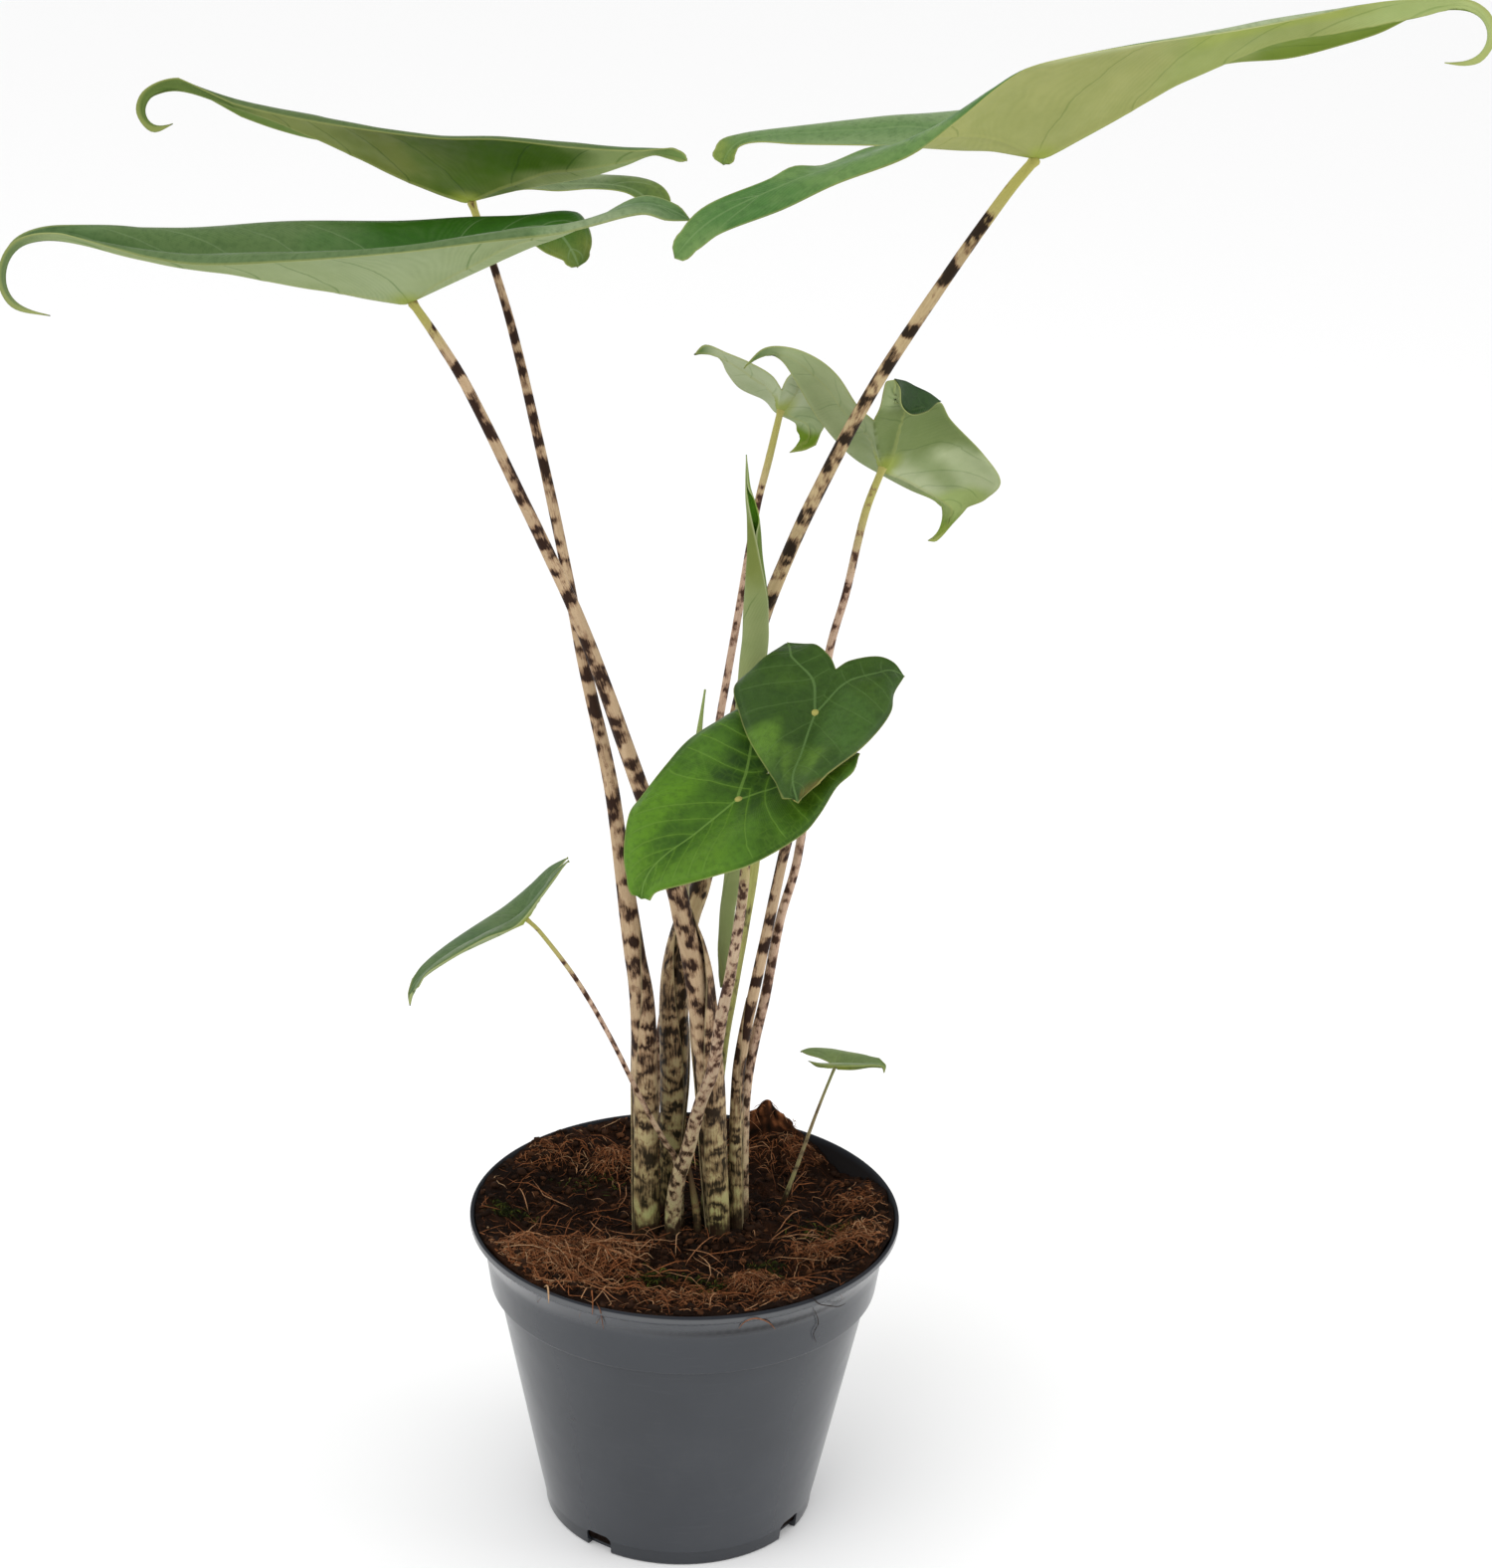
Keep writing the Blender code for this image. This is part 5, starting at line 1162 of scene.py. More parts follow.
def add_crumb(bm, rng, sizes, clumps, tones, squash):
    """A small uneven lump lying in the soil."""
    layer = bm.verts.layers.float.get("tone") or bm.verts.layers.float.new("tone")
    x, y = on_soil(rng, clumps)
    size = sizes[0] + (sizes[1] - sizes[0]) * rng.random() ** 2.5
    made = bmesh.ops.create_icosphere(bm, subdivisions=1, radius=size * MM)["verts"]
    tone = rng.uniform(*tones)
    turn = (Matrix.Diagonal((rng.uniform(0.8, 1.3), rng.uniform(0.8, 1.2), squash))
            @ Matrix.Rotation(rng.random() * math.tau, 3, "Z") @ Matrix.Rotation(rng.random() * 3, 3, "X"))
    at = Vector((x, y, soil_height(x, y) + size * 0.25)) * MM
    for v in made:
        v.co = at + turn @ (v.co * rng.uniform(0.55, 1.35))
        v[layer] = tone


def add_strand(bm, points, radius, tone, sides=3):
    """A thin strand through points in mm, as a tube of few sides that closes in a point at each end."""
    points = np.array(points, float)
    along = units(np.gradient(points, axis=0))
    side = units(np.cross(along, [0.31, 0.17, 0.93]))
    up = np.cross(along, side)
    size = radius * np.sin(np.linspace(0.0, math.pi, len(points))) ** 0.4
    turn = np.linspace(0, math.tau, sides + 1)
    grid = points[:, None] + size[:, None, None] * (side[:, None] * np.cos(turn)[None, :, None]
                                                   + up[:, None] * np.sin(turn)[None, :, None])
    lay_grid(bm, grid * MM, {"tone": np.full(grid.shape[:2], tone)})


def wander(rng, start, heading, length, bend, steps, lift=0.0):
    """A wandering run of points from a start along a heading in the plane, near the soil."""
    x, y, rise = start
    points = []
    for k in range(steps + 1):
        t = k / steps
        level = soil_height(x, y) if inside_pot(x, y, 0) else SOIL_TOP
        low = 1 - 0.85 * smooth_step(math.hypot(x, y), 66, 80)
        points.append((x, y, level + (rise + lift * math.sin(math.pi * t)) * low))
        heading += rng.gauss(0, bend)
        x += math.cos(heading) * length / steps
        y += math.sin(heading) * length / steps
        if not inside_pot(x, y, 2):
            heading += math.pi * 0.6
            x *= 0.975
            y *= 0.975
    return points


def add_fibre(bm, rng, kind):
    """One fibre: fine dark root, short reddish coir in a tuft, or a long loose strand."""
    if kind == "coir":
        x, y = on_soil(rng, COIR_TUFTS)
        start, length, bend, lift = rng.uniform(-0.5, 3.2), rng.uniform(3, 9), 0.36, rng.uniform(0, 2.5)
        radius, tone = rng.uniform(0.09, 0.18), rng.triangular(0.15, 1.0, 0.70)
    elif kind == "loose":
        x, y = on_soil(rng, COIR_TUFTS[:4])
        start, length, bend, lift = rng.uniform(0.8, 3.0), rng.uniform(12, 30), 0.16, rng.uniform(0, 3.5)
        radius, tone = rng.uniform(0.14, 0.26), rng.triangular(0.3, 1.0, 0.8)
    else:
        x, y = on_soil(rng, [])
        start, length, bend, lift = rng.uniform(-0.3, 1.2), rng.uniform(2, 10), 0.22, rng.uniform(0, 1.6)
        radius, tone = rng.uniform(0.07, 0.14), rng.triangular(0.0, 0.9, 0.3)
    points = wander(rng, (x, y, start), rng.random() * math.tau, length, bend, 5, lift)
    add_strand(bm, points, radius, tone)


def add_moss(bm, rng, x, y, reach):
    at = rng.gauss(x, reach), rng.gauss(y, reach * 0.6)
    if inside_pot(*at, 4):
        points = wander(rng, (*at, rng.uniform(0.3, 2.2)), rng.random() * math.tau, rng.uniform(1.5, 5), 0.6,
                        4, rng.random() * 1.6)
        add_strand(bm, points, rng.uniform(0.14, 0.30), rng.random())


class BuildLitter(bpy.types.Operator):
    """Scatter the crumbs, fibres, moss and the torn flap of coir on the soil"""
    bl_idname = "alocasia.litter"
    bl_label = "Soil litter"

    def execute(self, context):
        chosen = settings().soil
        rng = random.Random(chosen.seed)
        clumps = [(-45, -36, 17, 0.12), (-12, -26, 9, 0.05), (55, -25, 13, 0.07), (30, -50, 12, 0.06),
                  (-31, 43, 9, 0.04), (50, 62, 14, 0.04), (-60, 40, 14, 0.04), (3, -15, 18, 0.07)]
        dark = [(0.0, (0.007, 0.0035, 0.002)), (0.5, (0.028, 0.012, 0.006)), (0.85, (0.110, 0.044, 0.018)),
                (1.0, (0.300, 0.190, 0.100))]
        crumbs = chosen.crumbs
        feet = [(x, y - 2, 5, 0.16) for x, y in ((-15, -6), (14, -8), (-5, -8), (5, -10), (21, -1), (22, 6))]
        kinds = iter([((0.35, 1.7), clumps, (0.0, 0.8), 0.75)] * crumbs
                     + [((1.2, 2.6), [], (0.0, 0.6), 0.7)] * (crumbs // 14)
                     + [((0.3, 0.8), clumps, (0.93, 1.0), 0.45)] * 40
                     + [((0.6, 2.0), feet, (0.0, 0.7), 0.8)] * 420)
        bm = in_batches(crumbs + crumbs // 14 + 460, 40, lambda part: add_crumb(part, rng, *next(kinds)))
        new_piece("soil_crumbs", bm, [tone_material("soil_crumbs", dark, 0.95)], "soil_peat")

        warm = [(0.0, (0.008, 0.004, 0.002)), (0.35, (0.055, 0.019, 0.008)), (0.70, (0.330, 0.120, 0.045)),
                (1.0, (0.560, 0.360, 0.200))]
        for kind, share in (("root", 0.60), ("coir", 1.45), ("loose", 0.10)):
            bm = in_batches(int(chosen.fibres * share), 40, lambda part: add_fibre(part, rng, kind))
            name = "soil_fibres_" + kind
            new_piece(name, bm, [tone_material(name, warm)], "soil_peat")
        bm = bmesh.new()
        for points, radius, tone in LOOSE_FIBRES:
            table = np.array(points, float)
            run = spline(table, knots_of(table, 0.0, 1.0), np.linspace(0, 1, 18))
            add_strand(bm, run, radius, tone, sides=5)
        merge_close(bm, 1e-6)
        bmesh.ops.recalc_face_normals(bm, faces=bm.faces)
        new_piece("loose_fibres", bm, [tone_material("loose_fibres", warm)], "soil_peat")

        green = [(0.0, (0.006, 0.009, 0.002)), (0.7, (0.024, 0.032, 0.005)), (1.0, (0.100, 0.115, 0.016))]
        spots = iter([spot[:3] for spot in MOSS_AT for _ in range(spot[3])])
        bm = in_batches(sum(spot[3] for spot in MOSS_AT), 40, lambda part: add_moss(part, rng, *next(spots)))
        new_piece("soil_moss", bm, [tone_material("soil_moss", green)], "soil_peat")
        self.build_flap(rng, warm)
        return {"FINISHED"}

    def build_flap(self, rng, warm):
        """The torn piece of coir mat that stands up behind the stalks, with frayed fibres."""
        bm = bmesh.new()
        left, peak, right = (np.array(p, float) for p in FLAP)
        us, vs = np.linspace(0, 1, 29), np.linspace(0, 1, 13)
        foot = np.array([left, (left + right) / 2, right])
        foot[:, 2] = SOIL_TOP - 1
        top = np.array([left + [0, 0, -2], left * 0.45 + peak * 0.55, peak, peak * 0.5 + right * 0.5,
                        right + [0, 0, -3]])
        bottom = spline(foot, np.array([0, 0.5, 1.0]), us)
        edge = spline(top, np.array([0, 0.2, 0.45, 0.75, 1.0]), us)
        grid = bottom[:, None] + (edge - bottom)[:, None] * vs[None, :, None]
        for i, j in np.ndindex(grid.shape[:2]):
            rough = noise.noise_vector(Vector(grid[i, j]) / 3.5)
            grid[i, j] += np.array(rough) * (0.4 + 1.1 * vs[j])
        tones = np.array([[0.30 + 0.6 * noise.noise(Vector((u * 9, v * 5, 1))) for v in vs] for u in us])
        lay_grid(bm, grid * MM, {"tone": tones})
        piece = new_piece("soil_coir_flap", bm, [tone_material("soil_coir_flap", warm, 0.95)], "soil_peat")
        solidify(piece, 1.6 * MM).offset = 0.0
        bm = bmesh.new()
        for _ in range(70):
            i, j = rng.randrange(29), rng.choice((4, 8, 12, 12, 12))
            start = grid[i, j] + [rng.uniform(-1, 1), rng.uniform(-1.5, 0.5), 0]
            lean = np.array([rng.gauss(0, 2.0), rng.gauss(-0.4, 1.4), rng.uniform(-1.5, 2.6)])
            points = [start + lean * t + np.array([rng.gauss(0, 0.15), rng.gauss(0, 0.15), -1.5 * t * t])
                      for t in np.linspace(0, 1.4, 6)]
            add_strand(bm, points, rng.uniform(0.10, 0.20), rng.uniform(0.1, 0.85))
        merge_close(bm, 1e-6)
        bmesh.ops.recalc_face_normals(bm, faces=bm.faces)
        new_piece("soil_coir_fray", bm, [tone_material("soil_coir_fray", warm)], "soil_peat")


# ---- blades

def half_blade(leaf, half, side, us, vs):
    """One half of a blade: a grid of points in mm from its midrib and inner margin out to its margin,
    and the directions that its upper side faces."""
    mid = np.array(leaf["mid"], float)
    margin = np.array(half["margin"], float)
    sinus = np.vstack([mid[:1], np.array(half["sinus"], float)])
    rib = mid[::-1]
    rib_k = knots_of(rib, 0.0, TURN)
    sinus_k = knots_of(sinus, TURN, 1.0)
    inner = np.where((us <= TURN)[:, None], spline(rib, rib_k, np.minimum(us, TURN)),
                     spline(sinus, sinus_k, np.maximum(us, TURN)))
    start = us[np.argmin(np.linalg.norm(inner - margin[0], axis=1) + (us > TURN) * 1e3)]
    start = max(start, 0.02)
    beside = half["beside"]
    margin_k = np.concatenate([knots_of(margin[:beside + 1], start, TURN),
                               knots_of(margin[beside:], TURN, 1.0)[1:]])
    outer = spline(margin, margin_k, np.maximum(us, start))
    across = unit(np.cross([0, 0, 1.0], mid[leaf["joint"] + 1] - mid[leaf["joint"]]))
    reach = margin[0] - spline(rib, rib_k, np.array([start]))[0]
    curl, fold = leaf.get("curl", CURL)
    for k in np.where(us < start + 0.10)[0]:     # the curled tip, a narrow strip that widens into the blade
        w = min(1.0, us[k] / start)
        near = spline(rib, rib_k, np.clip(np.array([us[k] - 0.01, us[k] + 0.01]), 0, TURN))
        along = unit(near[0] - near[1])
        flat = unit(across - along * (across @ along))
        strip = flat * side * math.cos(fold) + np.cross(along, flat) * math.sin(fold)
        base = outer[k] if us[k] >= start else inner[k] + reach * w**3
        outer[k] = base + strip * curl * w**0.8 * min(1.0, (start + 0.10 - us[k]) / 0.10)
    if "blunt" in half:                          # a lobe that ends round
        end = np.clip((us - half["blunt"]) / (1 - half["blunt"]), 0, 0.999)[:, None]
        middle, reach = (inner + outer) / 2, (outer - inner) / 2
        reach = reach * np.sqrt(1 - end**2) / (1 - end)
        inner, outer = middle - reach, middle + reach
        inner[-1] = outer[-1] = middle[-1]
    chord = outer - inner
    along = -units(np.gradient(inner, axis=0)) - units(np.gradient(outer, axis=0))
    normal = units(np.cross(along, chord) * side)
    for k in range(1, len(us)):
        if normal[k] @ normal[k - 1] < -0.2:
            normal[k] = -normal[k]
    normal = units(spread(normal, 14))
    width = np.linalg.norm(chord, axis=1)
    rise = leaf["camber"] * np.minimum(1, width / 25) * np.minimum(1, (1 - us) / 0.08)
    points = (inner[:, None] * (1 - vs)[None, :, None] + outer[:, None] * vs[None, :, None]
              + normal[:, None] * (rise[:, None] * (6.75 * vs**2 * (1 - vs))[None, :])[..., None])
    soft = spread(points, 22)
    share = (step(vs, 0.0, 0.3) * step(1 - vs, 0.0, 0.25))[None, :, None]
    points = points * (1 - share) + soft * share
    height, back = half.get("crest", (0.0, 5.0))       # the margin rolled outwards over a crest
    edge = (1 - vs)[None] * width[:, None] / back
    fade = step(us, start, start + 0.12) * step(1 - us, 0.02, 0.10) * np.minimum(1, width / 24)
    points[..., 2] += height * fade[:, None] * edge * np.exp(1 - edge) * step(vs, 0.0, 0.2)[None]
    return points, width


def blade_marks(leaf, points, width, us, vs):
    """What a blade's material and relief read at each point: distances in mm to the nearest rib (with
    its side), the margin and the joint, and the number of the side vein with the gap between veins."""
    rib_k = knots_of(np.array(leaf["mid"], float)[::-1], 0.0, TURN)
    joint_u = rib_k[len(rib_k) - 1 - leaf["joint"]]
    away = np.clip((us - joint_u) / (1 - joint_u), 0, 1)
    rib_v = leaf.get("rib_at", 0.44) * np.minimum(1, (away * leaf.get("rib_rise", 2.6)) ** 0.75)
    rib = (vs[None] - rib_v[:, None]) * width[:, None]
    outward = (1 - vs)[None] * width[:, None]
    inward = vs[None] * width[:, None] + np.maximum(0, (TURN - us) / 0.02)[:, None] * 8
    edge = np.minimum(outward, inward)
    joint = np.linalg.norm(points - np.array(leaf["mid"][leaf["joint"]], float), axis=2)
    sweep = leaf["veins"] * (0.20 - 0.42 * step(us, joint_u - 0.10, joint_u + 0.20))
    out = np.abs(vs[None] - rib_v[:, None])
    number = leaf["veins"] * us[:, None] / TURN + sweep[:, None] * out**1.2
    du, dv = np.gradient(number, us, vs)
    pu = np.stack([np.gradient(points[..., k], us, axis=0) for k in range(3)], axis=2)
    pv = np.stack([np.gradient(points[..., k], vs, axis=1) for k in range(3)], axis=2)
    e, f, g = (pu * pu).sum(2), (pu * pv).sum(2), (pv * pv).sum(2)
    slope = (g * du**2 - 2 * f * du * dv + e * dv**2) / np.maximum(e * g - f * f, 1e-3)
    gap = np.clip(1 / np.sqrt(np.maximum(slope, 1e-6)), 0.5, 60)
    return rib, edge, joint, number, gap


def midrib_up(leaf, us):
    """The way that the upper side faces along the midrib, the same for both halves."""
    mid = np.array(leaf["mid"], float)
    rib_k = knots_of(mid[::-1], 0.0, TURN)
    ends = [spline(mid[::-1], rib_k, np.clip(us + off, 0, TURN)) for off in (-0.01, 0.01)]
    along = units(ends[0] - ends[1])
    across = unit(np.cross([0, 0, 1.0], mid[leaf["joint"] + 1] - mid[leaf["joint"]]))
    flat = units(across - along * (along @ across)[:, None])
    return np.cross(along, flat)


def shaped_blade(leaf, side, us, vs, half):
    """A half's grid in mm lifted to its upper surface, with quilting between the side veins, and what
    is stored on it."""
    chosen = settings().leaf
    points, width = half_blade(leaf, half, side, us, vs)
    rib, edge, joint, number, gap = blade_marks(leaf, points, width, us, vs)
    top = units(np.cross(np.gradient(points, axis=0), np.gradient(points, axis=1))) * -side
    off = np.abs((number + 0.5) % 1 - 0.5)
    clear = step(edge, 0.5, 9.0) * step(width, 8, 30)[:, None] * (1 - np.exp(-(joint / 9) ** 2))
    lift = 0.3 + chosen.quilting / MM * np.minimum(1, gap / 14) * np.sin(math.pi * off) ** 1.2 * clear
    lift -= 0.35 * np.exp(-(rib / 1.6) ** 2) * clear
    wave = np.array([[0.8 * noise.noise(Vector(p) / 31.0) + 0.3 * noise.noise(Vector(p) / 12.0) for p in row]
                     for row in points])
    lift += wave * clear
    seam = np.exp(-(vs[None] * width[:, None] / 2.5) ** 2) * (us <= TURN)[:, None]
    hold = (step(us, 0.05, 0.20) * step(TURN - us, 0.0, 0.03))[:, None] * (1 - np.exp(-(joint[:, :1] / 9) ** 2))
    lift = lift * (1 - seam) + (0.3 + (wave[:, :1] - 0.35) * hold) * seam
    top = units(top * (1 - seam[..., None]) + midrib_up(leaf, us)[:, None] * seam[..., None])
    ridge = 1.25 * np.exp(-(rib / 1.15) ** 2) * (0.35 + 0.65 * np.exp(-joint / 70.0))
    side_ridge = 0.12 * np.exp(-(off * gap / 0.9) ** 2) * clear
    thick = chosen.thickness / MM * (0.55 + 0.45 * step(edge, 0, 3.0)) + (ridge + side_ridge) * step(edge, 0, 4)
    stored = {
        "leaf_lines": np.stack([rib, edge, joint], axis=2),
        "leaf_veins": np.stack([number, gap, np.zeros_like(gap)], axis=2),
        "leaf_place": np.stack([np.repeat(us[:, None], len(vs), axis=1), np.repeat(vs[None], len(us), axis=0),
                                np.full(gap.shape, 0.0 if side > 0 else 1.0)], axis=2),
    }
    return (points + top * lift[..., None]) * MM, stored, thick / THICKEST


class BuildBlades(bpy.types.Operator):
    """Build the open blades, each from the runs of its edges"""
    bl_idname = "alocasia.blades"
    bl_label = "Blades"

    def execute(self, context):
        for name, leaf in BLADES.items():
            self.build(name, leaf)
        return {"FINISHED"}

    def build(self, name, leaf):
        length = np.linalg.norm(np.diff(np.array(leaf["mid"], float), axis=0), axis=1).sum()
        front = int(np.clip(length * 0.62, 34, 92))
        us = np.concatenate([np.linspace(0, TURN, front + 1), np.linspace(TURN, 1, front * 2 // 3 + 1)[1:]])
        count = int(np.clip(length * 0.17, 13, 24))
        vs = np.linspace(0, 1, count + 1) ** 1.3
        bm = bmesh.new()
        deform = bm.verts.layers.float.new("thickness")
        for side, half in ((1, leaf["left"]), (-1, leaf["right"])):
            points, stored, thick = shaped_blade(leaf, side, us, vs, half)
            lay_grid(bm, points, {**stored, "thickness": thick}, flip=side > 0)
        merge_close(bm)
        values = [v[deform] for v in bm.verts]
        bm.verts.layers.float.remove(deform)
        slot = PALE if name in PALE_BLADES else "leaf_green"
        piece = new_piece(name + "_leaf", bm, [top_material(name, leaf), under_material(name, leaf)], slot, name)
        weigh(piece, values)
        solidify(piece, THICKEST * MM, "thickness")
        if "fold" in leaf:
            self.build_fold(name, leaf, slot)

    def build_fold(self, name, leaf, slot):
        """The part of the right half that turns up behind its margin and shows the upper side."""
        crest = np.array(leaf["fold"], float)
        foot = np.array(leaf["right"]["margin"], float)[:4:-1]
        at = np.linspace(0, 1, 25)
        high = spline(crest, knots_of(crest, 0.0, 1.0), at)
        low = spline(foot, knots_of(foot, 0.0, 1.0), at) + [0, 0.6, 0.4]
        vs = np.linspace(0, 1, 9)
        grid = low[:, None] + (high - low)[:, None] * vs[None, :, None]
        grid[..., 1] += 2.2 * np.sin(math.pi * at)[:, None] * vs[None]
        mark = np.stack([np.full(grid.shape[:2], 9.0), np.full(grid.shape[:2], 5.0),
                         np.full(grid.shape[:2], 60.0)], axis=2)
        bm = bmesh.new()
        lay_grid(bm, grid * MM, {"leaf_lines": mark, "leaf_veins": mark * 0.3, "leaf_place": mark * 0.06})
        merge_close(bm)
        piece = new_piece(name + "_fold", bm, [top_material(name + "_fold", leaf)], slot)
        solidify(piece, 0.5 * MM)


def weigh(piece, values):
    """Give the piece's points their share of the greatest thickness."""
    group = piece.vertex_groups.new(name="thickness")
    for index, value in enumerate(values):
        group.add([index], float(min(1.0, value)), "REPLACE")


class BuildRolledBlade(bpy.types.Operator):
    """Build the young blade that is still rolled round itself"""
    bl_idname = "alocasia.rolled"
    bl_label = "Rolled blade"

    def execute(self, context):
        table = np.array(ROLL, float)
        at = np.linspace(0, len(table) - 1, 130)
        rows = spline(table, np.arange(len(table), dtype=float), at)
        along = np.linspace(0.0, 1.0, 64)
        grid, lines, veins, place = (np.zeros((len(rows), len(along), 3)) for _ in range(4))
        for i, (x, y, z, radius, edge_at, fill) in enumerate(rows):
            t = i / (len(rows) - 1)
            inside = np.maximum(0, along * fill - 325) / 110       # the part that is rolled under
            turn = np.radians(edge_at - along * fill)
            size = radius * (1.04 - 0.34 * inside) - 0.25 + 0.10 * np.sin(along * 6 + t * 7)
            size = np.maximum(size, 0.22)
            waver = 0.35 * noise.noise(Vector((0, 0, z / 13.0)))
            grid[i] = np.stack([x + waver + size * np.cos(turn), y + size * np.sin(turn),
                                np.full(len(along), z)], axis=1)
            across = along * radius * math.radians(fill)
            lines[i] = np.stack([(along - 0.5) * radius * math.radians(fill) + 0.4,
                                 0.4 * np.minimum(across, across[-1] - across) + 0.15,
                                 np.full(len(along), 60.0)], axis=1)
            number = t * 6.5 + 2.4 * np.abs(along - 0.5) ** 0.8
            veins[i] = np.stack([number, np.full(len(along), 16.0), np.zeros(len(along))], axis=1)
            place[i] = np.stack([np.full(len(along), t), along, np.zeros(len(along))], axis=1)
        bm = bmesh.new()
        lay_grid(bm, grid * MM, {"leaf_lines": lines, "leaf_veins": veins, "leaf_place": place})
        merge_close(bm)
        piece = new_piece("blade_rolled_leaf", bm, [under_material("blade_rolled", ROLLED_LOOK),
                                                    top_material("blade_rolled", ROLLED_LOOK)],
                          PALE, "blade_rolled")
        outward = sum((p.normal.dot(Vector((p.center.x - 0.018, p.center.y, 0)))
                       for p in piece.data.polygons if p.center.z > 0.28), 0.0)
        if outward < 0:
            piece.data.flip_normals()
        solidify(piece, 0.45 * MM)
        return {"FINISHED"}


# ---- stalks

def smooth_path(points, spacing=3.0):
    table = np.array(points, float)
    knots = knots_of(table[:, :3], 0.0, 1.0)
    length = np.linalg.norm(np.diff(table[:, :3], axis=0), axis=1).sum()
    return spline(table, knots, np.linspace(0, 1, max(8, int(length / spacing))))


def frames(path):
    """Directions along and across a path that don't twist, starting with +X across."""
    along = units(np.gradient(path[:, :3], axis=0))
    across = np.zeros_like(along)
    last = np.array([1.0, 0.0, 0.0])
    for k, direction in enumerate(along):
        last = unit(last - direction * (last @ direction))
        across[k] = last
    return along, across, np.cross(along, across)


def tube_grid(path, sides):
    """Points of a tube round a path of (x, y, z, radius), closed at both ends, with what is stored."""
    along, across, up = frames(path)
    run = np.concatenate([[0.0], np.cumsum(np.linalg.norm(np.diff(path[:, :3], axis=0), axis=1))])
    first, last = path[0], path[-1]
    size = path[:, 3]
    ends = [(0, 0.0, 0.0)] + [(k, size[k], 0.0) for k in range(len(path))]
    ends += [(len(path) - 1, last[3] * math.cos(a), 0.7 * last[3] * math.sin(a)) for a in (0.5, 0.9, 1.25)]
    ends += [(len(path) - 1, 0.0, 0.7 * last[3])]
    turn = np.linspace(0, math.tau, sides + 1)
    grid = np.zeros((len(ends), sides + 1, 3))
    cross = np.zeros_like(grid)
    place = np.zeros_like(grid)
    for i, (k, radius, ahead) in enumerate(ends):
        ring = across[k] * np.cos(turn)[:, None] + up[k] * np.sin(turn)[:, None]
        uneven = np.array([noise.noise(Vector((2 * math.cos(a), 2 * math.sin(a), run[k] / 17.0 + first[0])))
                           for a in turn])
        grid[i] = path[k, :3] + along[k] * ahead + ring * (radius * (1 + 0.045 * uneven))[:, None]
        cross[i] = np.stack([np.cos(turn) * size[k], np.sin(turn) * size[k],
                             np.full(sides + 1, run[k] + 37.0 * first[0])], axis=1)
        place[i] = (run[k] / run[-1], run[-1] - run[k], max(0.0, path[k, 2] - soil_height(first[0], first[1])))
    return grid, {"stalk_across": cross, "stalk_run": place}


def sheath_grid(path, top, tip_at, sides=34):
    """The sheath round the foot of a stalk: a sheet wrapped nearly all the way round, whose edges run
    up to one point. Radii are those of the path."""
    rows = path[path[:, 2] <= top + 0.01]
    along, across, up = frames(path)
    grid = np.zeros((len(rows) + 1, sides + 1, 3))
    cross, place = np.zeros_like(grid), np.zeros_like(grid)
    edge = np.zeros(grid.shape[:2])
    run = np.concatenate([[0.0], np.cumsum(np.linalg.norm(np.diff(path[:, :3], axis=0), axis=1))])
    low = SOIL_TOP - 8
    for i in range(len(rows) + 1):
        k = min(i, len(rows) - 1)
        share = np.clip((path[k, 2] - low) / (top - low), 0, 1) if i < len(rows) else 1.0
        half = math.radians(6 + 160 * (1 - share ** 2.6) ** 0.75) if i < len(rows) else math.radians(1)
        turn = math.radians(tip_at) + np.linspace(-half, half, sides + 1)
        radius = path[k, 3] + 0.10
        ring = across[k] * np.cos(turn)[:, None] + up[k] * np.sin(turn)[:, None]
        lift = 0.0 if i < len(rows) else 1.6
        grid[i] = path[k, :3] + along[k] * lift + ring * radius
        cross[i] = np.stack([np.cos(turn) * radius, np.sin(turn) * radius,
                             np.full(sides + 1, run[k] + 37.0 * path[0, 0])], axis=1)
        place[i] = (share, 80.0, max(0.0, path[k, 2] - soil_height(path[0, 0], path[0, 1])))
        edge[i] = (half - np.abs(turn - math.radians(tip_at))) * radius
    return grid, {"stalk_across": cross, "stalk_run": place, "sheath_edge": edge}


def planted(points, spacing=3.0):
    """The path from below the soil's surface to just inside the blade."""
    path = smooth_path(points, spacing)
    last = path[-1, :3] - path[-2, :3]
    path[-1, :3] -= last * min(0.6, 0.3 * path[-1, 3] / np.linalg.norm(last))
    path[-1, 3] *= 1.25
    x, y, _, radius = path[0]
    return np.vstack([[(x, y, SOIL_TOP - 9, radius), (x, y, SOIL_TOP - 4, radius)], path])


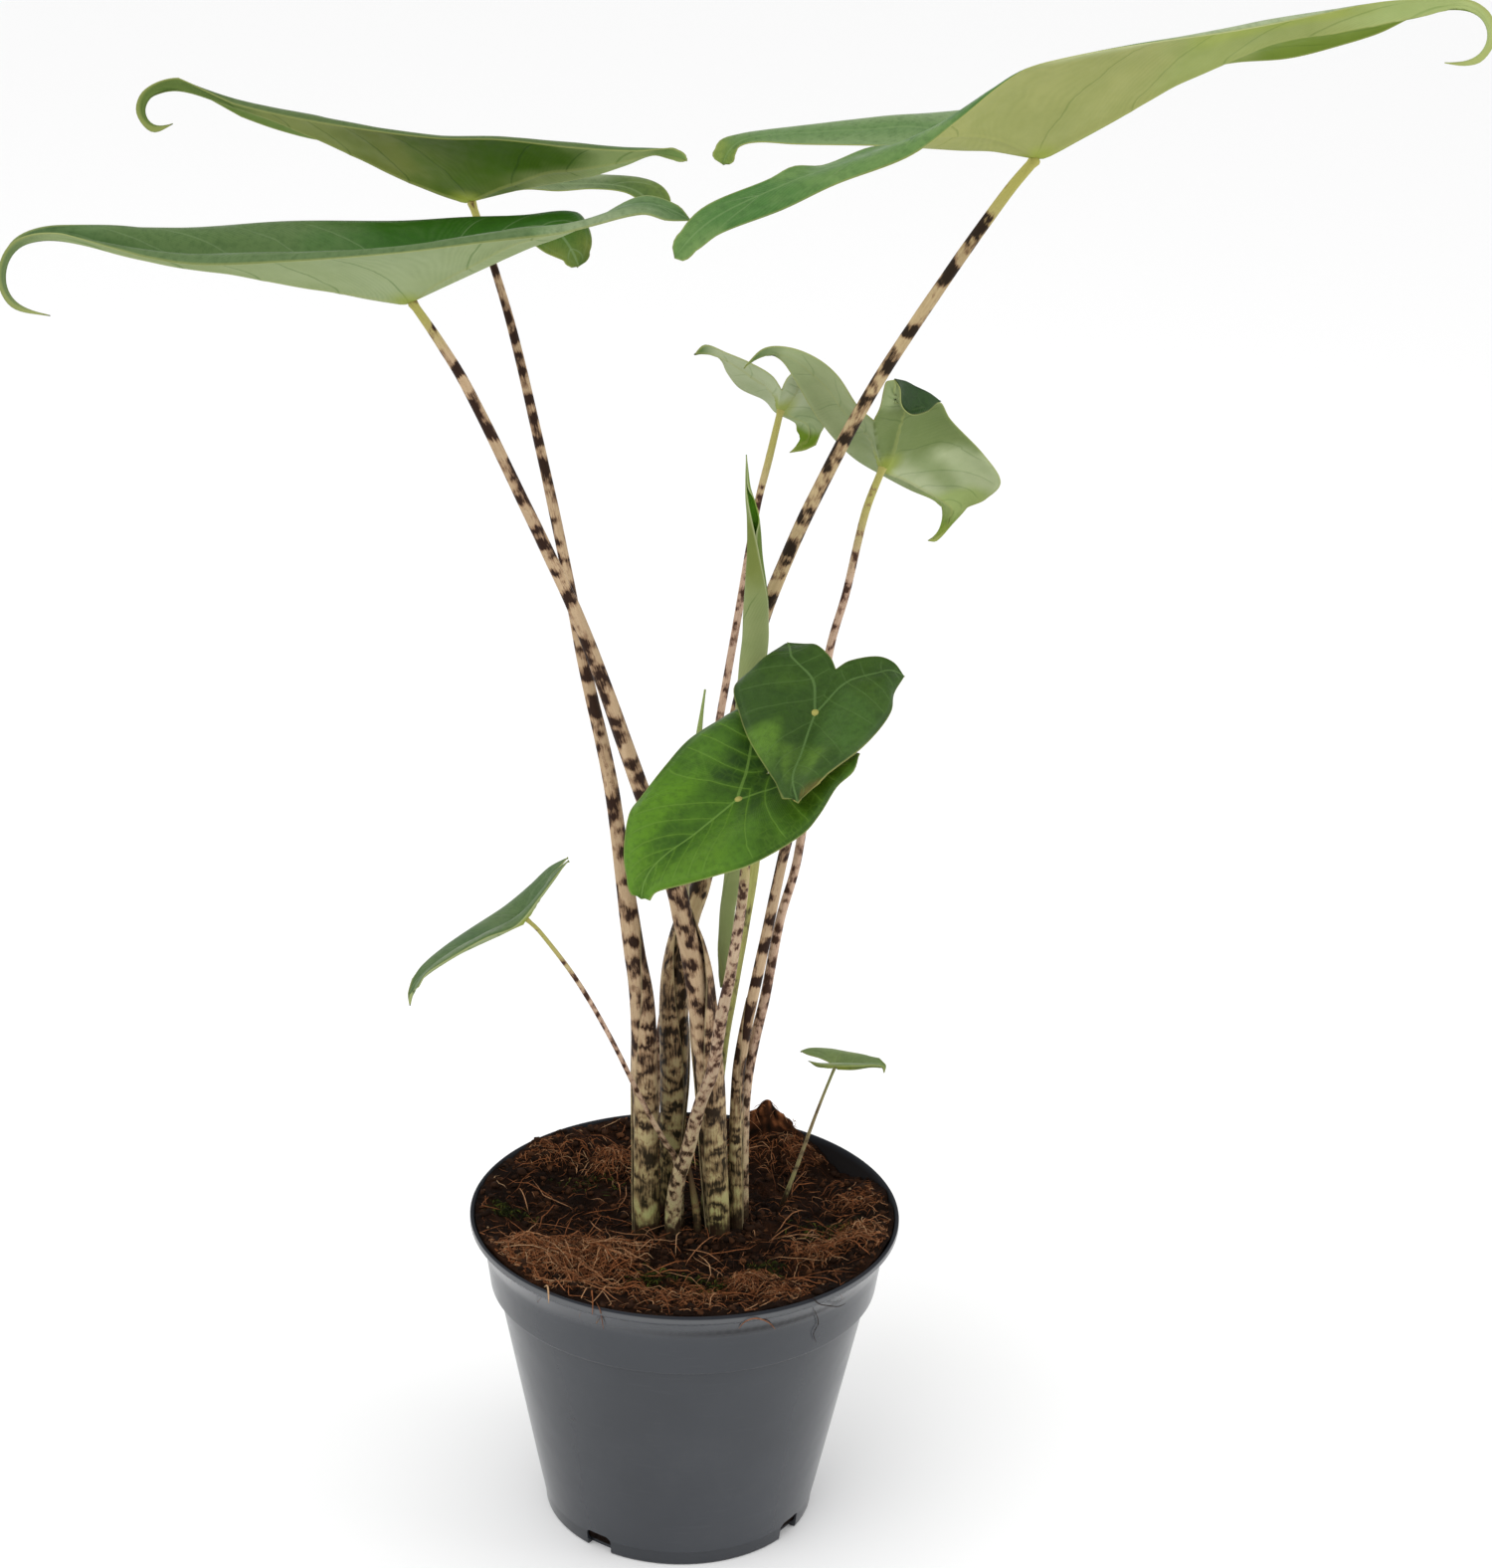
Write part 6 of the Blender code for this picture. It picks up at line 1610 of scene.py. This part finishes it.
class BuildStalks(bpy.types.Operator):
    """Build the stalks, the lower ones wrapped in their sheaths"""
    bl_idname = "alocasia.stalks"
    bl_label = "Stalks"

    def execute(self, context):
        for name, (_, look, points) in STALKS.items():
            path = planted(points)
            inner = path.copy()
            if name in SHEATHS:
                top, tip_at, foot_r, top_r = SHEATHS[name]
                thin = foot_r + (top_r - foot_r) * np.clip((path[:, 2] - SOIL_TOP) / (top - SOIL_TOP), 0, 1)
                inner[:, 3] = np.minimum(path[:, 3], thin)
                shift = (path[:, 3] - inner[:, 3] - 0.75) * (path[:, 3] > inner[:, 3] + 0.75)
                away = math.radians(tip_at + 180)
                inner[:, 0] += shift * math.cos(away)
                inner[:, 1] += shift * math.sin(away)
                self.build_sheath(name, look, path, top, tip_at)
            bm = bmesh.new()
            grid, stored = tube_grid(inner, settings().stalk.sides)
            lay_grid(bm, grid * MM, stored)
            merge_close(bm)
            bmesh.ops.recalc_face_normals(bm, faces=bm.faces)
            new_piece(name + "_stem", bm, [stalk_material(name, look)], "stalk_mottled", name)
        return {"FINISHED"}

    def build_sheath(self, name, look, path, top, tip_at):
        grid, stored = sheath_grid(path, top, tip_at)
        bm = bmesh.new()
        lay_grid(bm, grid * MM, stored)
        piece_name = name.replace("stalk", "sheath")
        piece = new_piece(piece_name, bm, [stalk_material(piece_name, look, sheath=True)], "stalk_mottled")
        middle = piece.data.polygons[len(piece.data.polygons) // 2]
        axis = Vector(path[np.argmin(np.abs(path[:, 2] - middle.center.z / MM)), :3]) * MM
        if middle.normal.dot(middle.center - axis) < 0:
            piece.data.flip_normals()
        solidify(piece, 0.55 * MM)


class BuildYoungParts(bpy.types.Operator):
    """Build the unopened spear leaf and the dried sheath at the foot of the stalks"""
    bl_idname = "alocasia.young"
    bl_label = "Spear leaf and dry sheath"

    def execute(self, context):
        for name, piece_name, points, look, slot in (
                ("spear_leaf", "spear_leaf_bud", SPEAR, SPEAR_LOOK, "spear_green"),
                ("dry_sheath", "dry_sheath_stub", STUB, DRY_LOOK, "dry_brown")):
            bm = bmesh.new()
            grid, stored = tube_grid(planted(points, 2.0), 16)
            lay_grid(bm, grid * MM, stored)
            merge_close(bm)
            bmesh.ops.recalc_face_normals(bm, faces=bm.faces)
            new_piece(piece_name, bm, [stalk_material(name, look)], slot, name)
        return {"FINISHED"}


# ---- stage

def add_camera():
    lens = bpy.data.cameras.new("camera")
    lens.sensor_fit, lens.sensor_width = "AUTO", 36.0
    lens.lens = FOCAL_PX / IMAGE_H * 36.0
    lens.clip_start, lens.clip_end = 0.05, 80.0
    camera = bpy.data.objects.new("camera", lens)
    pitch, yaw, roll = PITCH, YAW, ROLL_OVER
    ahead = Vector((math.sin(yaw) * math.cos(pitch), math.cos(yaw) * math.cos(pitch), -math.sin(pitch)))
    level = Vector((math.cos(yaw), -math.sin(yaw), 0))
    upright = level.cross(ahead)
    right = level * math.cos(roll) + upright * math.sin(roll)
    up = upright * math.cos(roll) - level * math.sin(roll)
    turn = Matrix((right, up, -ahead)).transposed().to_4x4()
    camera.matrix_world = Matrix.Translation(CAMERA_AT) @ turn
    bpy.context.scene.collection.objects.link(camera)
    bpy.context.scene.camera = camera


def add_light(name, at, towards, size, power):
    data = bpy.data.lights.new(name, "AREA")
    data.shape, data.size, data.energy = "DISK", size, power
    light = bpy.data.objects.new(name, data)
    light.location = at
    light.rotation_euler = (Vector(towards) - Vector(at)).to_track_quat("-Z", "Y").to_euler()
    bpy.context.scene.collection.objects.link(light)


class BuildStage(bpy.types.Operator):
    """Set up the pale floor, the soft lights and the camera"""
    bl_idname = "alocasia.stage"
    bl_label = "Stage"

    def execute(self, context):
        chosen = settings().stage
        bm = bmesh.new()
        bmesh.ops.create_grid(bm, x_segments=2, y_segments=2, size=30.0)
        mesh = bpy.data.meshes.new("floor")
        bm.to_mesh(mesh)
        bm.free()
        mat, n, shader = new_material("floor", roughness=0.9, specular=0.1)
        shader["Base Color"].default_value = (*chosen.floor, 1.0)
        mesh.materials.append(mat)
        floor = bpy.data.objects.new("floor", mesh)
        context.scene.collection.objects.link(floor)
        world = bpy.data.worlds.new("white_room")
        world.use_nodes = True
        sky = world.node_tree.nodes["Background"].inputs
        sky["Color"].default_value, sky["Strength"].default_value = (1, 1, 1, 1), chosen.fill
        context.scene.world = world
        context.scene.view_settings.view_transform = "Standard"
        add_light("key", (-1.1, -1.3, 1.9), (0, 0, 0.3), 2.4, chosen.key)
        add_light("side", (1.6, -0.2, 0.55), (0, 0, 0.08), 1.0, chosen.key * 0.3)
        add_camera()
        return {"FINISHED"}


class AlocasiaPanel(bpy.types.Panel):
    """Lists the pieces of the potted alocasia with their settings"""
    bl_idname = "VIEW3D_PT_alocasia"
    bl_label = "Alocasia"
    bl_space_type = "VIEW_3D"
    bl_region_type = "UI"
    bl_category = "Alocasia"

    def draw(self, context):
        chosen = context.scene.alocasia
        for part, names, steps in (
                (chosen.pot, ("colour", "dust", "sides"), ("alocasia.pot",)),
                (chosen.soil, ("peat", "coir", "fibres", "crumbs", "seed"), ("alocasia.soil", "alocasia.litter")),
                (chosen.leaf, ("margin", "thickness", "quilting"), ("alocasia.blades", "alocasia.rolled")),
                (chosen.stalk, ("sides", "neck", "foot"), ("alocasia.stalks", "alocasia.young")),
                (chosen.stage, ("floor", "key", "fill"), ("alocasia.stage",))):
            box = self.layout.box()
            for name in names:
                box.prop(part, name)
            for step_name in steps:
                box.operator(step_name)


CLASSES = (PotSettings, SoilSettings, LeafSettings, StalkSettings, StageSettings, AlocasiaSettings,
           BuildPot, BuildSoil, BuildLitter, BuildBlades, BuildRolledBlade, BuildStalks, BuildYoungParts,
           BuildStage, AlocasiaPanel)


def register():
    for kind in CLASSES:
        bpy.utils.register_class(kind)
    bpy.types.Scene.alocasia = bpy.props.PointerProperty(type=AlocasiaSettings)


def unregister():
    del bpy.types.Scene.alocasia
    for kind in reversed(CLASSES):
        bpy.utils.unregister_class(kind)


def main():
    register()
    for build in (bpy.ops.alocasia.pot, bpy.ops.alocasia.soil, bpy.ops.alocasia.litter,
                  bpy.ops.alocasia.blades, bpy.ops.alocasia.rolled, bpy.ops.alocasia.stalks,
                  bpy.ops.alocasia.young, bpy.ops.alocasia.stage):
        build()


if __name__ == "__main__":
    main()
